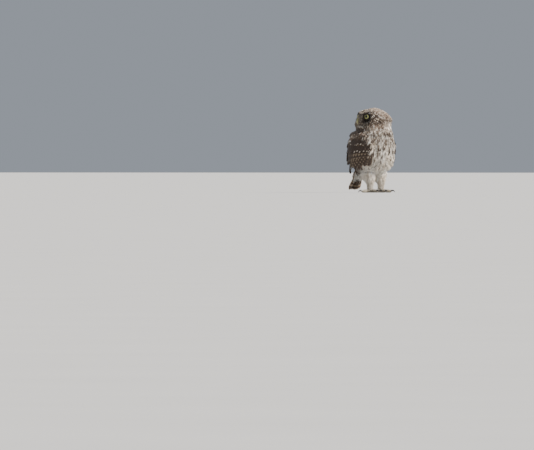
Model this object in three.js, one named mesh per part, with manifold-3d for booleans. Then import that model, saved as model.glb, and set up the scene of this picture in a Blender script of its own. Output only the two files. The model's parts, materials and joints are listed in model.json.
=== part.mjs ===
// A little owl standing at rest, life size, with its head turned over its right shoulder.
// Millimetres, +Z up. The bird's breast faces -Y, so its left side is at +X, and it stands on z = 0.
import * as THREE from "three";
import { mergeVertices } from "three/addons/utils/BufferGeometryUtils.js";
import Module from "manifold-3d";

const wasm = await Module();
wasm.setup();

// Driving sizes
const GAP = 0.3; // air between neighbouring pieces
const VANE_THICKNESS = 0.5; // of a flight feather, with its barbs
const CROWN_Z = 170; // floor to crown
const HEAD_TURN = THREE.MathUtils.degToRad(110); // to the bird's right, from the way the breast faces

// Level sections of the trunk, from the vent to the top of the neck: height, middle, half width, and the reach
// from the middle to the breast and to the back.
const TRUNK = [
  { z: 35, y: 6, side: 10, front: 11, back: 12 },
  { z: 39, y: 4, side: 22, front: 26, back: 25 },
  { z: 47, y: 3, side: 32, front: 38, back: 34 },
  { z: 62, y: 1, side: 40, front: 46, back: 42 },
  { z: 80, y: 0, side: 42, front: 47, back: 46.5 },
  { z: 102, y: -1, side: 40.5, front: 45.5, back: 44.6 },
  { z: 119, y: -2, side: 37.5, front: 40.5, back: 40 },
  { z: 130, y: -3, side: 35, front: 37.5, back: 36 },
  { z: 142, y: -4, side: 32, front: 33, back: 33 },
];
const NECK_LOW = 127;
const NECK_HIGH = 134;

// The surface that the folded wings lie on: just off the trunk above, hanging straight where it draws in.
const WING_BED = [
  { z: 20, y: 2, side: 36, front: 39, back: 47 },
  { z: 40, y: 2, side: 41, front: 43, back: 48 },
  { z: 62, y: 1, side: 43, front: 47, back: 47 },
  { z: 80, y: 0, side: 43.2, front: 48, back: 47.5 },
  { z: 102, y: -1, side: 41.2, front: 46, back: 46.3 },
  { z: 122, y: -2, side: 37.2, front: 40, back: 39.9 },
];

// The head, about its own middle: x to its left, y the way it faces, z up.
const HEAD = { x: 0, y: -2, z: 147, side: 33, face: 31, nape: 38.5, up: CROWN_Z - 147, down: 30, lean: 3 };
// How square the head is: its crown in front and behind, its jowls, and the flat of its face seen from above.
const SQUARE = { brow: 1.95, nape: 1.5, jowl: 3, face: 2.5 };
const EYE = { x: 14.8, y: 19.6, z: 5, radius: 7.2, aperture: 5.7, outward: 26, dip: -3 };
const BROW = { low: 8.6, rise: 0.36, height: 2.2, width: 2.8, middle: 13, reach: 8 };
const LID = { radius: 6.5, thickness: 1.15, ahead: 4.3 };
const FACE = {
  bridge: { z: -1, height: 2.2, width: 4, length: 7 },
  rim: { z: -1, height: 1.6, side: 27, up: 17, share: 0.1 },
  chin: { z: -14, height: 1.5, width: 8, length: 3.5 },
};
// The dish round each eye: near the eye the face is drawn back to a shallow cone that meets the lids.
const DISH = { inner: 7.5, outer: 15, depth: 3.3, slope: 0.16, browZ: 9.5 };

// Sections of the bill about the head's middle, from its hidden root to its tip, as half width and half height.
const UPPER_BILL = [
  { y: 21.6, z: 1, width: 4.2, height: 4.2 },
  { y: 28.6, z: 1.5, width: 4.4, height: 4.5 },
  { y: 32.2, z: -0.4, width: 4, height: 4.1 },
  { y: 34.7, z: -3.8, width: 3, height: 3.2 },
  { y: 35.2, z: -7.5, width: 1.8, height: 2.1 },
  { y: 34.1, z: -11, width: 0.5, height: 0.6 },
];
const LOWER_BILL = [
  { y: 21.6, z: -5.2, width: 3.6, height: 2.4 },
  { y: 28.6, z: -5.4, width: 3.3, height: 2.1 },
  { y: 31.4, z: -7.1, width: 2.1, height: 1 },
];
const CULMEN = 0.45; // how much narrower the bill is along its ridge than at its cutting edges
const NOSTRIL = { x: 2.8, y: 32.3, z: 2.5, radius: 1 };

// The left leg stands over its foot; its sections give half width, half depth, and how far it leans from there.
const LEG = { x: 17, y: -9, ankle: 10 };
const LEG_SECTIONS = [
  { z: 47, x: -0.5, y: 5, width: 14.5, height: 18 },
  { z: 37, x: 0, y: 4, width: 13.8, height: 16 },
  { z: 28, x: 0, y: 1.5, width: 11, height: 12 },
  { z: 19, x: 0, y: 0, width: 7.8, height: 8.4 },
  { z: LEG.ankle + GAP, x: 0, y: 0, width: 5.8, height: 6.4 },
];
const TOE_RADIUS = 3.1;
// Toes of the left foot: heading from the way the bird faces, positive outward, and length without the claw.
const TOES = [
  { heading: -22, length: 18 },
  { heading: 16, length: 22 },
  { heading: 112, length: 18 },
  { heading: 196, length: 15 },
];
// The instep in outline, as radius and height, and how a toe's axis rises and its radius changes along it.
const INSTEP = [[0, 0], [6.2, 0], [6.6, 3], [5.9, 7], [5.4, LEG.ankle], [0, LEG.ankle]];
const TOE_SECTIONS = [
  { along: 0.05, z: 4, radius: 1 },
  { along: 0.4, z: 3.6, radius: 0.92 },
  { along: 0.75, z: 2.7, radius: 1 },
  { along: 1, z: 2.9, radius: 0.72 },
];
const CLAW_LENGTH = 10;
const CLAW_SECTIONS = [
  { along: 0.03, z: 3, radius: 1.9 },
  { along: 0.3, z: 4.1, radius: 1.75 },
  { along: 0.62, z: 3.4, radius: 1.2 },
  { along: 0.82, z: 0.4, radius: 0.45 },
];
const CLAW_FLATNESS = 0.8; // width against height

// The tail's bed slopes down and back from under the rump, and rounds off to both sides like a roof.
const TAIL = {
  y: 21, z: 73, slope: 27, length: 75, roof: 0.009, pairs: 6, width: 9, step: 0.9,
  root: { along: 30, x: 1.4, fan: 0.9 },
  tip: { x: 3, fan: 2.6, rounding: 0.2 },
};
const TAIL_COVERTS = [
  { along: 22, lift: -4, width: 15, height: 8 },
  { along: 36, lift: -3.4, width: 14, height: 6.2 },
  { along: 44, lift: -5, width: 13, height: 5.2 },
  { along: 54, lift: -7.4, width: 10, height: 2.4 },
  { along: 63, lift: -7, width: 5, height: 0.8 },
];

// The fleshy wing with its smallest coverts, as heights and angles on the wing bed: its lower edge and its top
// from front to back, how far the top arches up, its front and back edges from their ends to their middle, and
// how far it reaches out of the bed and into it.
const SHOULDER = {
  low: [76, 84], high: [106, 112], arch: 14, front: [57, 50], back: [150, 163], over: 2.4, under: -4,
};

// Feather tiers of the left wing, from the longest to those that lie over them. Each row runs from the wing's
// front edge to the back, and gives where roots and tips lie: height, angle round from the breast, and lift off
// the wing bed. The middle of a row hangs lower by its reach.
const TIERS = [
  {
    count: 8, width: 12, reach: 1,
    root: [[80, 56, 0.7], [82, 102, 0.7]],
    tip: [[51, 60, 0.6], [35, 162, 0.8]],
  },
  {
    count: 8, width: 12.6, reach: 3,
    root: [[86, 62, 1], [96, 136, 1]],
    tip: [[70, 70, 3.2], [56, 171, 3.4]],
  },
  {
    count: 3, width: 11, reach: 0,
    root: [[104, 136, 1.2], [108, 150, 1.2]],
    tip: [[65, 161, 5.6], [78, 172, 6]],
  },
  {
    count: 7, width: 12.5, reach: 1,
    root: [[96, 57, 0.9], [105, 132, 1]],
    tip: [[81, 61, 4.6], [79, 154, 5.2]],
  },
  {
    count: 6, width: 13, reach: 1,
    root: [[108, 58, 0.6], [113, 122, 1]],
    tip: [[94, 59, 4.4], [96, 136, 5.2]],
  },
  {
    count: 6, width: 12.4, reach: 0,
    root: [[119, 112, 0.6], [114, 156, 0.8]],
    tip: [[102, 126, 6], [85, 172, 6.6]],
  },
];

const FEATHER = new THREE.MeshStandardMaterial({ color: 0x6b5a4a, roughness: 0.9 });
const PALE_FEATHER = new THREE.MeshStandardMaterial({ color: 0xd8cdbb, roughness: 0.95 });
const HORN = new THREE.MeshStandardMaterial({ color: 0xa8a077, roughness: 0.45 });
const CLAW = new THREE.MeshStandardMaterial({ color: 0x2a2624, roughness: 0.35 });
const TOE_SKIN = new THREE.MeshStandardMaterial({ color: 0x9a9284, roughness: 0.8 });
const IRIS = new THREE.MeshStandardMaterial({ color: 0xd9c84a, roughness: 0.1 });

const { degToRad, lerp, clamp } = THREE.MathUtils;
const vec = (x, y, z) => new THREE.Vector3(x, y, z);

// A small repeatable draw between -1 and 1.
const random = (() => {
  let state = 7;
  return () => {
    state = (state * 16807) % 2147483647;
    return (2 * state) / 2147483647 - 1;
  };
})();

// Closed geometry from rings of the same number of points, with a fan over each end.
function ringGeometry(rings) {
  const count = rings[0].length;
  const points = rings.flat();
  const index = [];
  rings.slice(1).forEach((_, i) => {
    for (let j = 0; j < count; j++) {
      const a = i * count + j;
      const b = i * count + ((j + 1) % count);
      index.push(a, b, b + count, a, b + count, a + count);
    }
  });
  const middle = (ring) => ring.reduce((sum, p) => sum.add(p), vec(0, 0, 0)).divideScalar(count);
  points.push(middle(rings[0]), middle(rings.at(-1)));
  for (let j = 0; j < count; j++) {
    const next = (j + 1) % count;
    const last = (rings.length - 1) * count;
    index.push(points.length - 2, next, j, points.length - 1, last + j, last + next);
  }
  return new THREE.BufferGeometry().setFromPoints(points).setIndex(index);
}

// A three.js geometry with its faces pointing out, as a solid.
function solid(geometry) {
  const bare = geometry.index ? geometry.toNonIndexed() : geometry.clone();
  bare.deleteAttribute("normal");
  bare.deleteAttribute("uv");
  const merged = mergeVertices(bare, 1e-4);
  const build = (triVerts) =>
    new wasm.Manifold(
      new wasm.Mesh({ numProp: 3, vertProperties: merged.attributes.position.array, triVerts }),
    );
  const faces = new Uint32Array(merged.index.array);
  const made = build(faces);
  return made.volume() > 0 ? made : build(faces.reverse());
}

// The same surface moved out along its normals.
function swollen(geometry, by) {
  const bare = geometry.clone();
  bare.deleteAttribute("normal");
  bare.deleteAttribute("uv");
  const merged = mergeVertices(bare, 1e-4);
  merged.computeVertexNormals();
  const { position, normal } = merged.attributes;
  for (let i = 0; i < position.count; i++) {
    const n = vec().fromBufferAttribute(normal, i).multiplyScalar(by);
    position.setXYZ(i, position.getX(i) + n.x, position.getY(i) + n.y, position.getZ(i) + n.z);
  }
  return merged;
}

const joined = (parts) => parts.reduce((sum, part) => sum.add(part));
const without = (body, ...cutters) => cutters.reduce((rest, cutter) => rest.subtract(cutter), body);
const largest = (body) =>
  body.decompose().reduce((best, piece) => (piece.volume() > best.volume() ? piece : best));

// A half space, as a large block whose face lies at height z.
function block(z, side) {
  const size = 500;
  return solid(new THREE.BoxGeometry(size, size, size).translate(0, 0, z + (side * size) / 2));
}

// Sections between the listed ones, by a smooth curve through them.
function sectionAt(stations, z) {
  const last = stations.length - 2;
  const i = clamp(stations.findLastIndex((s) => s.z <= z), 0, last);
  const [a, b] = [stations[i], stations[i + 1]];
  const before = stations[Math.max(i - 1, 0)];
  const after = stations[Math.min(i + 2, last + 1)];
  const span = b.z - a.z;
  const t = (z - a.z) / span;
  const value = (key) => {
    const rise = ((b[key] - before[key]) / (b.z - before.z)) * span;
    const fall = ((after[key] - a[key]) / (after.z - a.z)) * span;
    return (
      (2 * t ** 3 - 3 * t ** 2 + 1) * a[key] +
      (t ** 3 - 2 * t ** 2 + t) * rise +
      (3 * t ** 2 - 2 * t ** 3) * b[key] +
      (t ** 3 - t ** 2) * fall
    );
  };
  return { y: value("y"), side: value("side"), front: value("front"), back: value("back") };
}

// A point at height z and angle round from the breast, lifted off the surface by lift.
function onStations(stations, z, angle, lift = 0) {
  const s = sectionAt(stations, z);
  const depth = Math.cos(angle) > 0 ? s.front : s.back;
  const outward = vec(Math.sin(angle) / s.side, -Math.cos(angle) / depth, 0).normalize();
  return vec(s.side * Math.sin(angle), s.y - depth * Math.cos(angle), z).addScaledVector(outward, lift);
}

function loftGeometry(stations, levels, segments) {
  return ringGeometry(
    levels.map((z) =>
      Array.from({ length: segments }, (_, j) => onStations(stations, z, (2 * Math.PI * j) / segments)),
    ),
  );
}

// A tube of changing section along a smooth path, level along its way across: each stop gives a point, half
// width and half height. With a ridge it narrows towards its top.
function taperedTube(stops, across, segments, steps, ridge = 0) {
  const curve = new THREE.CatmullRomCurve3(stops.map((s) => s.at));
  const ring = (i) => {
    const t = i / steps;
    const along = t * (stops.length - 1);
    const k = Math.min(Math.floor(along), stops.length - 2);
    const width = lerp(stops[k].width, stops[k + 1].width, along - k);
    const height = lerp(stops[k].height, stops[k + 1].height, along - k);
    const up = curve.getTangent(t).cross(across).normalize();
    return Array.from({ length: segments }, (_, j) => {
      const angle = (2 * Math.PI * j) / segments;
      const narrowed = 1 - ridge * Math.max(Math.sin(angle), 0);
      return curve
        .getPoint(t)
        .addScaledVector(across, width * narrowed * Math.cos(angle))
        .addScaledVector(up, height * Math.sin(angle));
    });
  };
  return ringGeometry(Array.from({ length: steps + 1 }, (_, i) => ring(i)));
}

// One feather: a thin blade whose middle line runs from root to tip over a surface, rounded at the tip.
// Its back edge dips by tilt, so that the next feather's front edge lies over it.
const VANE_ROWS = [
  { along: 0, wide: 0.3 },
  { along: 0.42, wide: 0.88 },
  { along: 0.82, wide: 1 },
  { along: 0.955, wide: 0.62 },
];
const VANE_COLUMNS = [-1, 0, 1];
const COVERT_ROWS = [
  { along: 0, wide: 0.35 },
  { along: 0.66, wide: 1 },
  { along: 0.92, wide: 0.66 },
];
function vane({ surface, root, tip, width, rows = VANE_ROWS, camber = 0.1, tilt = 1 }) {
  const thickness = VANE_THICKNESS;
  const middle = (t) => surface(...root.map((value, i) => lerp(value, tip[i], t)));
  const lifted = (t) =>
    surface(...root.map((value, i) => lerp(value, tip[i], t) + (i === 2 ? 1 : 0)));
  const faces = [1, -1].map((side) =>
    rows.flatMap(({ along, wide }, row) =>
      VANE_COLUMNS.map((u) => {
        const t = u === 0 && row === rows.length - 1 ? 1 : along;
        const outward = lifted(t).sub(middle(t)).normalize();
        const ahead = middle(t + 0.02).sub(middle(t - 0.02)).normalize();
        const across = outward.clone().cross(ahead).normalize();
        const height = (side * thickness) / 2 - camber * u * u - tilt * u;
        return middle(t)
          .addScaledVector(across, (u * wide * width) / 2)
          .addScaledVector(outward, height);
      }),
    ),
  );
  const columns = VANE_COLUMNS.length;
  const size = rows.length * columns;
  const index = [];
  for (let r = 0; r < rows.length - 1; r++) {
    for (let c = 0; c < columns - 1; c++) {
      const a = r * columns + c;
      const [b, d, e] = [a + 1, a + columns, a + columns + 1];
      index.push(a, b, e, a, e, d, size + a, size + e, size + b, size + a, size + d, size + e);
    }
  }
  const rim = [];
  for (let c = 0; c < columns - 1; c++) rim.push([c + 1, c]);
  for (let c = 0; c < columns - 1; c++) rim.push([size - columns + c, size - columns + c + 1]);
  for (let r = 0; r < rows.length - 1; r++) {
    rim.push([r * columns, (r + 1) * columns]);
    rim.push([(r + 2) * columns - 1, (r + 1) * columns - 1]);
  }
  rim.forEach(([p, q]) => index.push(p, q, size + q, p, size + q, size + p));
  return solid(new THREE.BufferGeometry().setFromPoints(faces.flat()).setIndex(index));
}

// Trunk

const TRUNK_SEGMENTS = 32;
const TRUNK_LEVELS = [35, 36.4, 39, 43, 48, 55, 64, 74, 84, 94, 104, 114, 121, 127];
const trunkGeometry = loftGeometry(TRUNK, TRUNK_LEVELS, TRUNK_SEGMENTS);
const torso = solid(trunkGeometry);

// What wings, tail and legs are cut with: the trunk grown by the gap, and by the bow of its coarser sides.
const CUTTER = { segments: 26, levels: [33, 38, 44, 54, 68, 84, 100, 116, 128], grow: GAP + 0.3 };
const torsoSwollen = solid(swollen(loftGeometry(TRUNK, CUTTER.levels, CUTTER.segments), CUTTER.grow));

// Head, built about its own middle facing +Y and then turned

// Turned so that +Y, the way the face points, goes to the bird's right.
const headPlace = new THREE.Matrix4()
  .makeTranslation(HEAD.x, HEAD.y, HEAD.z)
  .multiply(new THREE.Matrix4().makeRotationZ(Math.PI - HEAD_TURN));

const sides = { left: 1, right: -1 };
const bump = (distance, width) => Math.exp(-(distance * distance) / (2 * width * width));

// How much smaller than at its widest the head is at height z, where its profile has this squareness.
const shrink = (z, reach, square) => (1 - Math.min(Math.abs(z) / reach, 1) ** square) ** (1 / square);

// The plain head at height z, at an angle round from the way it faces.
function plainHead(z, angle) {
  const [c, s] = [Math.cos(angle), Math.sin(angle)];
  const crown = lerp(SQUARE.nape, SQUARE.brow, THREE.MathUtils.smoothstep(c, -0.8, 0.8));
  const scale = z > 0 ? shrink(z, HEAD.up, crown) : shrink(z, HEAD.down, SQUARE.jowl);
  const flat = c > 0 ? 2 / SQUARE.face : 1;
  const x = HEAD.side * Math.sign(s) * Math.abs(s) ** flat;
  const y = c > 0 ? HEAD.face * c ** flat : HEAD.nape * c;
  const back = z > 0 ? HEAD.lean * (z / HEAD.up) ** 2 : 0;
  return vec(x * scale, y * scale - back, z);
}

// How far the face stands out of the plain head: brows that slant down to the bill, the bridge between the
// eyes, the rim of the face and the chin.
function faceRelief({ x, z }) {
  const side = Math.abs(x);
  const { bridge, rim, chin } = FACE;
  const mound = (form) => form.height * bump(x, form.width) * bump(z - form.z, form.length);
  const fromBrow = z - BROW.low - BROW.rise * side;
  const brow = BROW.height * bump(fromBrow, BROW.width) * bump(side - BROW.middle, BROW.reach);
  const edge = rim.height * bump(Math.hypot(x / rim.side, (z - rim.z) / rim.up) - 1, rim.share);
  return brow + mound(bridge) + edge + mound(chin);
}

function eyePlace(side) {
  return new THREE.Matrix4()
    .makeTranslation(side * EYE.x, EYE.y, EYE.z)
    .multiply(new THREE.Matrix4().makeRotationZ(-side * degToRad(EYE.outward)))
    .multiply(new THREE.Matrix4().makeRotationX(degToRad(EYE.dip)));
}

// A point of the face drawn back into the dishes round the eyes.
function dished(point) {
  for (const side of Object.values(sides)) {
    const place = eyePlace(side);
    const local = point.clone().applyMatrix4(place.clone().invert());
    const fromAxis = Math.hypot(local.x, local.z);
    const share = 1 - THREE.MathUtils.smoothstep(fromAxis, DISH.inner, DISH.outer);
    if (local.y > 0 && share > 0) {
      const above = BROW.height * bump(local.z - DISH.browZ, BROW.width) * share;
      local.y = lerp(local.y, DISH.depth + DISH.slope * fromAxis + above, share);
      point.copy(local.applyMatrix4(place));
    }
  }
  return point;
}

const HEAD_SEGMENTS = 46;
const HEAD_LEVELS = [
  -10, -7, -4.4, -2.2, 0, 2.2, 4.4, 6.6, 8.8, 10.6, 12.2, 13.8, 15.6, 17.6, 19.6, 21.4, 22.6,
];

function headGeometry() {
  const bottom = NECK_HIGH + GAP - HEAD.z;
  const ring = (z) =>
    Array.from({ length: HEAD_SEGMENTS }, (_, j) => {
      const turn = (2 * Math.PI * j) / HEAD_SEGMENTS;
      const angle = turn - 0.5 * Math.sin(turn); // closer together on the face
      const point = plainHead(z, angle);
      const onFace = THREE.MathUtils.smoothstep(Math.cos(angle), 0.1, 0.45);
      const outward = vec(point.x * 0.6, point.y, 0).normalize();
      point.addScaledVector(outward, onFace * faceRelief(point));
      return z > bottom + 2 ? dished(point) : point;
    });
  return ringGeometry([bottom, ...HEAD_LEVELS].map(ring)).applyMatrix4(headPlace);
}

// The neck, from the trunk's section at its foot to the head's at its top.
const NECK_SEGMENTS = 36;
function neckGeometry() {
  const foot = NECK_LOW + GAP;
  const levels = [0, 0.3, 0.65, 1];
  return ringGeometry(
    levels.map((t) =>
      Array.from({ length: NECK_SEGMENTS }, (_, j) => {
        const angle = (2 * Math.PI * j) / NECK_SEGMENTS;
        const z = lerp(foot, NECK_HIGH, t);
        const onHead = plainHead(z - HEAD.z, -angle - HEAD_TURN).applyMatrix4(headPlace);
        return onStations(TRUNK, z, angle).lerp(onHead, THREE.MathUtils.smoothstep(t, 0, 1));
      }),
    ),
  );
}

function eyeball(radius) {
  return new THREE.SphereGeometry(radius, 16, 8);
}

// The open cone in front of the eye, between the lids, and the lids as a rounded ring.
function eyeOpening() {
  const [near, far, flare] = [3.8, 12, 3];
  const profile = [[0, near], [EYE.aperture, near], [EYE.aperture + flare, far], [0, far]];
  return new THREE.LatheGeometry(profile.map(([r, h]) => new THREE.Vector2(r, h)), 16);
}

function lidRing() {
  const ring = new THREE.TorusGeometry(LID.radius, LID.thickness, 6, 16);
  return ring.rotateX(Math.PI / 2).translate(0, LID.ahead, 0);
}

const ACROSS = vec(1, 0, 0);

// A half of the bill, or what it is cut with, grown all round.
function bill(sections, grow = 0) {
  const stops = sections.map(({ y, z, width, height }) => ({
    at: vec(0, y, z),
    width: width + grow,
    height: height + grow,
  }));
  return taperedTube(stops, ACROSS, 12, 10, CULMEN);
}

const nostril = (side) =>
  new THREE.SphereGeometry(NOSTRIL.radius, 8, 6).translate(side * NOSTRIL.x, NOSTRIL.y, NOSTRIL.z);

function headPieces() {
  const inHead = (geometry) => solid(geometry.applyMatrix4(headPlace));
  const both = (make) =>
    Object.values(sides).map((side) => inHead(make().applyMatrix4(eyePlace(side))));
  const egg = solid(headGeometry());
  const lids = both(lidRing);
  const sockets = both(() => eyeball(EYE.radius + GAP + 0.05));
  const openings = both(eyeOpening);
  const clearance = GAP + 0.1; // along slanting faces
  const upper = inHead(bill(UPPER_BILL));
  const upperCut = inHead(bill(UPPER_BILL, clearance));
  const lower = without(inHead(bill(LOWER_BILL)), upperCut);
  const head = without(
    without(egg, ...openings).add(joined(lids)),
    ...sockets,
    upperCut,
    inHead(bill(LOWER_BILL, clearance)),
  );
  const nostrils = Object.values(sides).map((side) => inHead(nostril(side)));
  const pieces = {
    head: [largest(head), FEATHER],
    beak_upper: [largest(without(upper, ...nostrils)), HORN],
    beak_lower: [largest(lower), HORN],
  };
  for (const [name, side] of Object.entries(sides)) {
    pieces[`eye_${name}`] = [inHead(eyeball(EYE.radius).applyMatrix4(eyePlace(side))), IRIS];
  }
  return pieces;
}

// Wings: a smooth shoulder that covers the feather roots, and the tiers of feathers

const onWingBed = (z, angle, lift) => onStations(WING_BED, z, degToRad(angle), lift);

// A pad that swells in its middle and sinks in at its edges.
function shoulder() {
  const geometry = new THREE.BoxGeometry(1, 1, 1, 9, 7, 1);
  const { position } = geometry.attributes;
  const between = ([start, end], t) => lerp(start, end, t);
  const bow = (t, margin) => Math.sin(Math.PI * clamp(t, margin, 1 - margin));
  for (let i = 0; i < position.count; i++) {
    const u = position.getX(i) + 0.5;
    const v = position.getY(i) + 0.5;
    const high = between(SHOULDER.high, u) + SHOULDER.arch * bow(u, 0) ** 0.6;
    const z = lerp(between(SHOULDER.low, u), high, v);
    const angle = lerp(between(SHOULDER.front, bow(v, 0)), between(SHOULDER.back, bow(v, 0)), u);
    const swell = (bow(u, 0.03) * bow(v, 0.06)) ** 0.4;
    const point = onWingBed(z, angle, position.getZ(i) > 0 ? SHOULDER.over * swell : SHOULDER.under);
    position.setXYZ(i, point.x, point.y, point.z);
  }
  return solid(geometry);
}

function tier({ count, width, root, tip, reach }) {
  return Array.from({ length: count }, (_, i) => {
    const t = i / (count - 1);
    const at = ([from, to]) => from.map((value, k) => lerp(value, to[k], t));
    const end = at(tip);
    end[0] += -reach * Math.sin(Math.PI * t) + 0.8 * random();
    return vane({
      surface: onWingBed,
      root: at(root),
      tip: end,
      width: width * (1 + 0.04 * random()),
      rows: root[0][0] - tip[0][0] > 17 ? VANE_ROWS : COVERT_ROWS,
    });
  });
}

function leftWing() {
  const feathers = TIERS.flatMap(tier);
  return largest(without(joined([shoulder(), ...feathers]), torsoSwollen));
}

// Tail: twelve feathers, the middle pair on top, over the soft coverts under its root

function onTail(along, x, lift) {
  const slope = degToRad(TAIL.slope);
  const ahead = vec(0, Math.sin(slope), -Math.cos(slope));
  const outward = vec(0, Math.cos(slope), Math.sin(slope));
  return vec(x, TAIL.y, TAIL.z)
    .addScaledVector(ahead, along)
    .addScaledVector(outward, lift - TAIL.roof * x * x);
}

function tail() {
  const { root, tip } = TAIL;
  const stops = TAIL_COVERTS.map(({ along, lift, width, height }) => ({
    at: onTail(along, 0, lift),
    width,
    height,
  }));
  const core = solid(taperedTube(stops, ACROSS, 16, 8));
  const feathers = Object.values(sides).flatMap((side) =>
    Array.from({ length: TAIL.pairs }, (_, pair) => {
      const lift = side > 0 && pair === 0 ? TAIL.step : -TAIL.step * pair;
      const end = TAIL.length - tip.rounding * pair ** 2 + 0.6 * random();
      return vane({
        surface: onTail,
        root: [root.along, side * (root.x + root.fan * pair), lift],
        tip: [end, side * (tip.x + tip.fan * pair), lift],
        width: TAIL.width,
        camber: 0.15,
        tilt: 0,
      });
    }),
  );
  return largest(without(joined([core, ...feathers]), torsoSwollen));
}

// Legs, toes and claws of the left side

function leg() {
  const stops = LEG_SECTIONS.map(({ x, y, z, width, height }) => ({
    at: vec(LEG.x + x, LEG.y + y, z),
    width,
    height,
  }));
  return largest(without(solid(taperedTube(stops, ACROSS, 14, 8)), torsoSwollen));
}

function heading(toe) {
  const angle = degToRad(toe.heading);
  return vec(Math.sin(angle), -Math.cos(angle), 0);
}

function acrossToe(toe) {
  return vec(0, 0, 1).cross(heading(toe));
}

function toePoint(toe, along, z) {
  return vec(LEG.x, LEG.y, z).addScaledVector(heading(toe), along);
}

function foot() {
  const profile = INSTEP.map(([r, z]) => new THREE.Vector2(r, z));
  const instep = new THREE.LatheGeometry(profile, 14).rotateX(Math.PI / 2).translate(LEG.x, LEG.y, 0);
  const toes = TOES.map((toe) => {
    const stops = TOE_SECTIONS.map(({ along, z, radius }) => ({
      at: toePoint(toe, along * toe.length, z),
      width: radius * TOE_RADIUS,
      height: radius * TOE_RADIUS,
    }));
    return solid(taperedTube(stops, acrossToe(toe), 8, 7));
  });
  return largest(without(joined([solid(instep), ...toes]), block(0, -1)));
}

// A curved claw from the end of its toe, with its point resting on the floor.
function claw(toe) {
  const stops = CLAW_SECTIONS.map(({ along, z, radius }) => ({
    at: toePoint(toe, toe.length + GAP + along * CLAW_LENGTH, z),
    width: CLAW_FLATNESS * radius,
    height: radius,
  }));
  return largest(without(solid(taperedTube(stops, acrossToe(toe), 6, 5)), block(0, -1)));
}

// The whole bird

const owl = new THREE.Group();

function add(name, body, material) {
  const { vertProperties, triVerts, numProp, numVert } = body.getMesh();
  const points = new Float32Array(3 * numVert);
  for (let i = 0; i < numVert; i++) {
    points.set(vertProperties.subarray(i * numProp, i * numProp + 3), 3 * i);
  }
  const geometry = new THREE.BufferGeometry()
    .setAttribute("position", new THREE.BufferAttribute(points, 3))
    .setIndex(new THREE.BufferAttribute(triVerts, 1));
  const mesh = new THREE.Mesh(geometry, material);
  mesh.name = name;
  owl.add(mesh);
}

const mirrored = (body) => body.mirror([1, 0, 0]);

function addPair(name, body, material) {
  add(name.replace("SIDE", "left"), body, material);
  add(name.replace("SIDE", "right"), mirrored(body), material);
}

add("torso", torso, FEATHER);
add("neck", solid(neckGeometry()), FEATHER);
for (const [name, [body, material]] of Object.entries(headPieces())) add(name, body, material);
addPair("wing_SIDE", leftWing(), FEATHER);
add("tail", tail(), FEATHER);
addPair("leg_SIDE", leg(), PALE_FEATHER);
addPair("foot_SIDE", foot(), TOE_SKIN);
TOES.forEach((toe, i) => addPair(`claw_SIDE_${i + 1}`, claw(toe), CLAW));

// The origin is on the floor, under the middle of the bird's outline.
const outline = new THREE.Box3().setFromObject(owl, true);
const middle = outline.getCenter(vec());
owl.position.set(-middle.x, -middle.y, -outline.min.z);

export default owl;
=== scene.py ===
"""A little owl at rest, life size, looking back over its right shoulder.

Sizes are in millimetres of the owl's own frame, where its breast faces -Y, its left is +X and it stands on
z = 0. They are turned into metres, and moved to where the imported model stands, as each mesh is made.
"""
import json
import math
from functools import partialmethod

import bpy
import numpy as np
from mathutils import Matrix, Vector
from mathutils.kdtree import KDTree

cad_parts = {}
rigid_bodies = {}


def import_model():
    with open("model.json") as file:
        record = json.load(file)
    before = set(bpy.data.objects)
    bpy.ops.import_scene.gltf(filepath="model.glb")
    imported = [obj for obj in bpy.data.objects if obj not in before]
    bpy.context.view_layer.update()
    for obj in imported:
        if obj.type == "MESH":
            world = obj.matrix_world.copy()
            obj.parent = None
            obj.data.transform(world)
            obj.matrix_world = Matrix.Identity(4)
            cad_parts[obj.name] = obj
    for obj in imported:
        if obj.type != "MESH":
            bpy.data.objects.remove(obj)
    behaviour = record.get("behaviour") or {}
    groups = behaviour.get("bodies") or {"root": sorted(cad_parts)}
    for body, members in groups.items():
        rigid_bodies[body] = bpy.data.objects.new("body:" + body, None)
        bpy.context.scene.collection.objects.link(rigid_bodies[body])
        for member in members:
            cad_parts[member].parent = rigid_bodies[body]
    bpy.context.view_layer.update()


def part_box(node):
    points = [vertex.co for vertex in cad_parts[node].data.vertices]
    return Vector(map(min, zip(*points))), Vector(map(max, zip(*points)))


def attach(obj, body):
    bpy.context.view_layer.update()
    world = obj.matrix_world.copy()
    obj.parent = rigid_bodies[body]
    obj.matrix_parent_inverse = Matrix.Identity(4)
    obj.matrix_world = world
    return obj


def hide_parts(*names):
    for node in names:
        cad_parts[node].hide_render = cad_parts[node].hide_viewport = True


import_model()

MM = 0.001
SIDES = {"left": 1, "right": -1}

# The body, as level sections: height, middle, half width, and the reach to the breast and to the back.
TRUNK = np.array([
    (35, 6, 10, 11, 12), (39, 4, 22, 26, 25), (47, 3, 32, 38, 34), (62, 1, 40, 46, 42), (80, 0, 42, 47, 46.5),
    (102, -1, 40.5, 45.5, 44.6), (119, -2, 37.5, 40.5, 40), (130, -3, 35, 37.5, 36), (142, -4, 32, 33, 33),
], float)
WING_BED = np.array([
    (20, 2, 36, 39, 47), (40, 2, 41, 43, 48), (62, 1, 43, 47, 47), (80, 0, 43.2, 48, 47.5),
    (102, -1, 41.2, 46, 46.3), (122, -2, 37.2, 40, 39.9),
], float)
NECK_LOW, NECK_HIGH = 119, 134

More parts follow.
